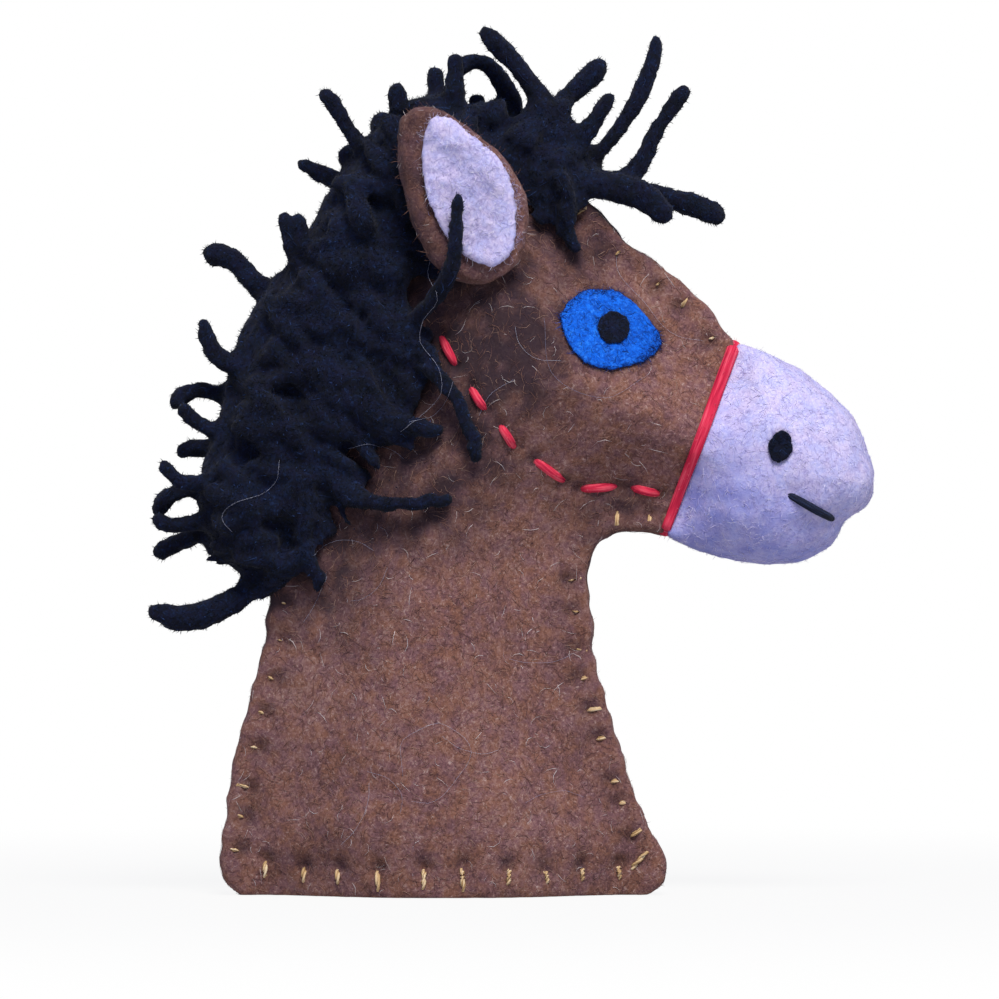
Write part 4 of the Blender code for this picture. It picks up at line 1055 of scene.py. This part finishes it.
# %% Seam and hem threads
def over_edge(place, way):
    """The route of one stitch, from the pit in the near panel over the edge to the far one."""
    lean = np.array([-way[1], way[0]]) * chance.uniform(-0.5, 0.5)
    buried = chance.uniform(-0.35, 0.02)
    pit = place + way * stitch_reach
    half = []
    for word, side in SIDES.items():
        tree, run = felt[word], []
        for share, lift in ((0.0, -0.4), (0.22, 0.20), (0.5, 0.16 + buried), (0.8, -0.05 + buried)):
            x, z = pit * (1 - share) + (place + lean) * share
            hit, _ = onto(tree, x, z, side, lift)
            run.append(hit if hit is not None else np.array([x * MM, side * 2.0 * MM, z * MM]))
        half.append(run)
    edge = place + lean + way * 0.55
    return np.array(half[0] + [np.array([edge[0] * MM, 0.0, edge[1] * MM])] + half[1][::-1])


def thread_piece(name, routes, node, width=0.54):
    """Several stitches of gold thread as one piece."""
    routes = np.array([smooth_route(r, 14) for r in routes])
    up = routes - np.array([-8 * MM, 0.0, 30 * MM])
    laid = lay_copies(thread_shape, routes, [width * MM] * len(routes), up, turns=[1.3] * len(routes))
    piece = mesh_of_copies(name, thread_shape, laid, gold_thread)
    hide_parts(node)
    print(name, len(routes), "stitches")


def seam_strand(edge, low, high, axis, inward):
    """Short runs of thread along the groove between the panels."""
    line = smooth_route(edge, 60) + np.array(inward) * 0.9
    line = line[(line[:, axis] > low) & (line[:, axis] < high)]
    runs = [line[at:at + 5] for at in range(0, len(line) - 5, 4)]
    return [np.column_stack([r[:, 0], np.full(len(r), 0.0), r[:, 1]]) * MM for r in runs]


thread_piece("gold_seam_back", [over_edge(*s) for s in back_stitches]
             + seam_strand(neck_edge, 5.0, 32.0, 1, (1, 0)), "seam_thread_back")
thread_piece("gold_seam_front", [over_edge(*s) for s in front_stitches + jaw_stitches]
             + seam_strand(chest_edge, 5.0, 36.0, 1, (-1, 0)), "seam_thread_front")
thread_piece("gold_seam_forehead", [over_edge(*s) for s in forehead_stitches]
             + seam_strand(forehead_edge, 9.0, 24.0, 0, (-0.7, -0.7)), "seam_thread_forehead")
for word, side in SIDES.items():
    routes = []
    for x, low, high in hem_legs:
        lean = chance.uniform(-0.25, 0.25)
        routes.append(stitch_route(felt[word], (x, low), (x + lean, high), side, 8, 0.35, 0.20))
    for (start, _, _), (end, _, _) in zip(hem_legs, hem_legs[1:]):
        halfway = start + 0.5 * (end - start)
        routes.append(stitch_route(felt[word], (start, 0.8), (halfway, 0.7), side, 8, 0.6, -0.32))
    if side == NEAR:
        routes.append(stitch_route(felt[word], (13.6, 3.0), (15.6, 5.2), side, 8, 0.3, 0.2))
    thread_piece("gold_hem_" + word, routes, "hem_thread_" + word, 0.66)

# %% [markdown]
# ## Loose fibres
# A close look at felt shows single fibres: most lie along the surface, some stand off it and make the soft
# edge of the outline. Each is a three-sided sliver that tapers to its tip. Points are scattered evenly
# over a piece, and from each a fibre creeps over the surface in a curve, or leaves it at a slant. They are
# 0.05 mm thick, about twice life, so that they hold together in the picture. The mane's fuzz is shorter and
# far denser, so there each fibre is a single straight sliver.

# %% Scatter and comb fibres
def scatter(piece, count, keep=None):
    """Random points on a piece, even by area, with the surface normals there."""
    mesh = piece.data
    mesh.calc_loop_triangles()
    corners = np.array([t.vertices[:] for t in mesh.loop_triangles])
    places, _ = points_of(piece)
    a, b, c = (places[corners[:, n]] for n in range(3))
    normal = np.cross(b - a, c - a)
    area = np.linalg.norm(normal, axis=1)
    weight = area.copy()
    if keep is not None:
        weight *= keep((a + b + c) / 3, normal / (area[:, None] + 1e-20))
    chosen = chance.choice(len(area), count, p=weight / weight.sum())
    u, v = chance.random(count), chance.random(count)
    flip = u + v > 1
    u[flip], v[flip] = 1 - u[flip], 1 - v[flip]
    points = a[chosen] + (b - a)[chosen] * u[:, None] + (c - a)[chosen] * v[:, None]
    return points, (normal / (area[:, None] + 1e-20))[chosen]


def creeping(tree, points, normals, lengths, lift, bend=0.9, drift=None):
    """Routes that follow a surface, four points each, from random starts."""
    way = chance.normal(size=points.shape)
    if drift is not None:
        way += drift
    routes, turns = [], chance.uniform(-bend, bend, len(points))
    for p, n, w, length, rise, turn in zip(points, normals, way, lengths, lift, turns):
        place, normal, way_now = Vector(p), Vector(n), Vector(w)
        made = [place - normal * 0.02 * MM]
        for step in range(3):
            way_now = (way_now - normal * way_now.dot(normal)).normalized()
            way_now = way_now + normal.cross(way_now) * turn
            place = place + way_now.normalized() * length / 3
            found, face, _, _ = tree.find_nearest(place)
            if found is None:
                break
            normal = face
            place = found
            made.append(found + face * rise * (0.6 + 0.4 * step))
        while len(made) < 4:
            made.append(made[-1] + way_now * 0.1 * MM)
        routes.append([v[:] for v in made])
    return np.array(routes)


def standing(points, normals, lengths, slant=0.9):
    """Routes that leave the surface at a slant and curl, four points each."""
    way = normals + slant * chance.normal(size=points.shape)
    way /= np.linalg.norm(way, axis=1)[:, None]
    curl = chance.normal(size=points.shape) * 0.5
    steps = np.array([-0.06, 0.33, 0.67, 1.0])
    return points[:, None] + lengths[:, None, None] * (steps[None, :, None] * way[:, None]
                                                       + steps[None, :, None] ** 2 * curl[:, None] * 0.6)


def hairs(name, routes, widths, tints, finish, shape=short_shape):
    """One object of loose fibres, all of them above the floor."""
    routes = np.array(routes)
    routes[..., 2] = np.maximum(routes[..., 2], 0.1 * MM)
    up = np.broadcast_to(np.array([0.23, 0.31, 0.92]), routes.shape)
    piece = mesh_of_copies(name, shape, lay_copies(shape, routes, widths, up), finish, tints)
    print(name, len(routes), "fibres,", len(piece.data.polygons), "triangles")


def coat(name, piece, tree, count, lying, length, stand, finish, tint, keep=None, width=0.05,
         centre=None, shape=short_shape):
    """A coat of fibres: a share lies on the piece, away from a centre if one is given, the rest stands off."""
    points, normals = scatter(piece, count, keep)
    flat = int(count * lying)
    low, high = length
    drift = None
    if centre is not None:
        drift = points[:flat] - centre
        drift *= 2.5 / np.linalg.norm(drift, axis=1)[:, None]
    laid = creeping(tree, points[:flat], normals[:flat], chance.uniform(low, high, flat) * MM,
                    chance.uniform(0.02, 0.14, flat) * MM, drift=drift)
    short, tall = stand
    up = standing(points[flat:], normals[flat:], chance.uniform(short, tall, count - flat) * MM)
    widths = chance.uniform(0.6, 1.2, count) * width * MM
    hairs(name, np.vstack([laid, up]), widths, tint(count), finish, shape)


def mostly(low, high, rare, share):
    """Tints between two values, with a share of rare pale ones."""
    return lambda count: np.where(chance.random(count) < share, rare, chance.uniform(low, high, count))


print("fibre helpers ready")

# %% Fibres on the body, muzzle and ears
for word, side in SIDES.items():
    count = 7300 if side == NEAR else 4400
    coat("body_fibres_" + word, panels[word], felt[word], count, 0.80, (0.7, 2.6), (0.2, 0.7), brown_fibre,
         mostly(0.0, 0.72, 1.0, 0.05),
         keep=lambda c, n, s=side: np.clip(n[:, 1] * s + 0.45, 0, 1) + 0.02, shape=hair_shape)
coat("muzzle_fibres", muzzle, felt["muzzle"], 4200, 0.80, (0.5, 1.8), (0.2, 0.6), lilac_fibre,
     mostly(0.15, 0.9, 0.0, 0.08))
for word in SIDES:
    ear, lining = tufts["felt_ear_" + word], tufts["ear_lining_wool_" + word]
    coat("ear_fibres_" + word, ear, surface_of(ear), 1300, 0.45, (0.8, 2.2), (0.3, 1.1), brown_fibre,
         mostly(0.0, 0.62, 1.0, 0.05))
    both = surface_of(lining, ear)
    coat("lining_fibres_" + word, lining, both, 1200, 0.60, (0.8, 2.0), (0.3, 1.0), lilac_fibre,
         mostly(0.35, 1.0, 0.0, 0.08))
    hollow, heart = surface_of(lining), points_of(lining)[0].mean(axis=0)

    def beside_lining(middles, faces):
        """Most on the ear's own felt beside the lining, and more towards the front and the tip."""
        forward = ((middles - heart) @ (0.8, 0, 0.6)) / (3 * MM)
        return fading(1.0, to_surface(hollow, middles), 0.5) * np.clip(0.4 + forward, 0.05, 1)

    coat("lining_fringe_" + word, ear, both, 2000, 0.85, (0.4, 1.2), (0.3, 0.8), lilac_fibre,
         mostly(0.1, 0.8, 0.0, 0.08), keep=beside_lining, centre=heart, width=0.045)
    eye = tufts["eye_" + word]
    ground = surface_of(eye, panels[word])
    coat("eye_fibres_" + word, eye, ground, 1000, 0.85, (0.6, 1.6), (0.1, 0.4), blue_fibre,
         mostly(0.2, 1.0, 0.0, 0.2))
    middle = points_of(eye)[0].mean(axis=0)

    def near_rim(middles, faces):
        """Only where it is more than 4 mm from the middle of the eye, which is a little wider than high."""
        return (np.linalg.norm((middles - middle)[:, [0, 2]] / (1.25, 1), axis=1) > 4.0 * MM) + 0.001

    coat("eye_fringe_" + word, eye, ground, 1100, 0.95, (0.5, 1.5), (0.1, 0.4), blue_fibre,
         mostly(0.0, 0.4, 0.7, 0.1), keep=near_rim, centre=middle)
    for kind, below, count in (("pupil_", eye, 500), ("nostril_", muzzle, 360)):
        tuft = tufts[kind + word]
        coat(kind + "fibres_" + word, tuft, surface_of(tuft, below), count, 0.9, (0.4, 1.1), (0.1, 0.4),
             black_fibre, mostly(0.0, 0.6, 1.0, 0.04), centre=points_of(tuft)[0].mean(axis=0))

# %% Fuzz and fibres on the mane
root_points = kdtree.KDTree(roll_count * STEPS)
for number, place in enumerate(roll_routes.reshape(-1, 3)):
    root_points.insert(place, number)
root_points.balance()
roll_ways = np.gradient(roll_routes, axis=1).reshape(-1, 3)
roll_ways /= np.linalg.norm(roll_ways, axis=1)[:, None]


def along_rolls(points):
    """The direction of the nearest roll, from root to tip, at each point."""
    return roll_ways[[root_points.find(Vector(p))[1] for p in points]]


def standing_clear(middles, normals):
    """More on the rolls that stand clear of the mat, since their fuzz is seen against the light."""
    return 0.4 + np.clip(to_surface(cover, middles) - 1.0, 0, 2)


count = 36000
points, normals = scatter(mane, count, standing_clear)
way = along_rolls(points) * chance.uniform(0.0, 0.9, count)[:, None]
way += normals * chance.uniform(0.4, 1.0, count)[:, None]
way += 0.45 * chance.normal(size=points.shape)
way /= np.linalg.norm(way, axis=1)[:, None]
length = chance.uniform(0.15, 0.55, count) * MM
fuzz = np.stack([points - way * 0.1 * MM, points + way * length[:, None]], axis=1)
hairs("mane_fuzz", fuzz, chance.uniform(0.08, 0.16, count) * MM, mostly(0.0, 0.62, 1.0, 0.03)(count),
      black_fibre, needle_shape)
count = 4500
points, normals = scatter(mane, count)
laid = creeping(felt["mane"], points, normals, chance.uniform(0.8, 2.6, count) * MM,
                chance.uniform(0.02, 0.12, count) * MM, drift=along_rolls(points) * 2.5)
hairs("mane_fibres", laid, chance.uniform(0.04, 0.07, count) * MM, mostly(0.1, 0.85, 1.0, 0.05)(count),
      black_fibre)

# %% Fibres on the yarn
yarn_points = np.vstack([band_route] + [routes.reshape(-1, 3) for routes in straps.values()])
count = 700
chosen = yarn_points[chance.integers(0, len(yarn_points), count)]
away = chance.normal(size=chosen.shape)
away /= np.linalg.norm(away, axis=1)[:, None]
hairs("yarn_fibres", standing(chosen + away * 0.45 * MM, away, chance.uniform(0.2, 0.6, count) * MM),
      np.full(count, 0.04 * MM), chance.random(count), red_fibre)

# %% [markdown]
# ## Stray hairs
# A few hairs from other work cling to the puppet: long, pale and much finer than the wool. The clearest ones
# are laid where the picture has them, and a dozen short ones anywhere. Each is one thin straight shape, bent
# along a curve on the surface.

# %% Long stray hairs
ground = surface_of(mane, panels["near"], panels["far"])
loose_loop = [(-12.4, 13.8), (-12.7, 17.3), (-12.1, 18.3), (-10.6, 19.2), (-8.5, 20.0), (-7.1, 19.4),
              (-5.4, 18.2), (-4.7, 16.7), (-5.2, 15.2), (-6.4, 13.6), (-7.8, 11.8), (-9.4, 10.9), (-11.4, 11.1)]
over_eye = [(12.0, 73.3), (12.3, 71.1), (15.1, 68.0), (17.3, 65.2), (19.3, 64.0), (21.9, 63.6)]
under_eye = [(3.6, 66.0), (4.6, 59.6), (10.4, 57.0), (15.2, 59.4)]
beside_ear = [(-9.0, 74.2), (-9.6, 71.1), (-8.4, 68.3), (-10.2, 65.9), (-10.5, 63.4), (-8.4, 60.3),
              (-8.1, 57.3), (-10.8, 54.5), (-12.7, 53.2)]
on_mane = [(-26.5, 49.9), (-26.9, 47.5), (-28.5, 46.0), (-32.0, 44.8), (-33.0, 43.2), (-32.0, 41.8)]
stray_lines = [loose_loop, over_eye, beside_ear, on_mane, under_eye]
for _ in range(14):
    start = np.array([chance.uniform(-26, 12), chance.uniform(6, 62)])
    turn = chance.uniform(0, 6.28)
    bow = chance.uniform(-0.5, 0.5)
    line = [start]
    for step in range(4):
        turn += bow
        line.append(line[-1] + np.array([math.cos(turn), math.sin(turn)]) * chance.uniform(1.0, 2.4))
    stray_lines.append(line)
routes = []
for line in stray_lines:
    run = [onto(ground, x, z, NEAR, 0.15)[0] for x, z in smooth_route(line, 28)]
    if all(p is not None for p in run):
        run = np.array(run)
        for _ in range(3):
            run[1:-1, 1] = np.minimum(run[1:-1, 1], (run[:-2, 1] + run[2:, 1]) / 2)
        routes.append(run)
stray_shape = straight_shape(3, 27, lambda z: 1.0)
laid = lay_copies(stray_shape, routes, [0.027 * MM] * len(routes), np.array([0.1, -1.0, 0.2]))
strays = mesh_of_copies("stray_hairs", stray_shape, laid, white_fibre, chance.random(len(routes)))
print(strays.name, len(routes), "hairs")

# %% [markdown]
# ## Cloth facts
# The two panels are sheets of felt, cut flat and then held in shape by their seam. Each ear is a leaf of the
# same felt laid against the head, with a thin lining laid on it. The muzzle is packed hard. Below, the
# triangles added to the solid model are counted.

for word in SIDES:
    ear, lining = tufts["felt_ear_" + word], tufts["ear_lining_wool_" + word]
triangles = sum(sum(len(p.vertices) - 2 for p in o.data.polygons) for o in bpy.data.objects
                if o.type == "MESH" and "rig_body" in o and "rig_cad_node" not in o)
print("added triangles:", triangles)
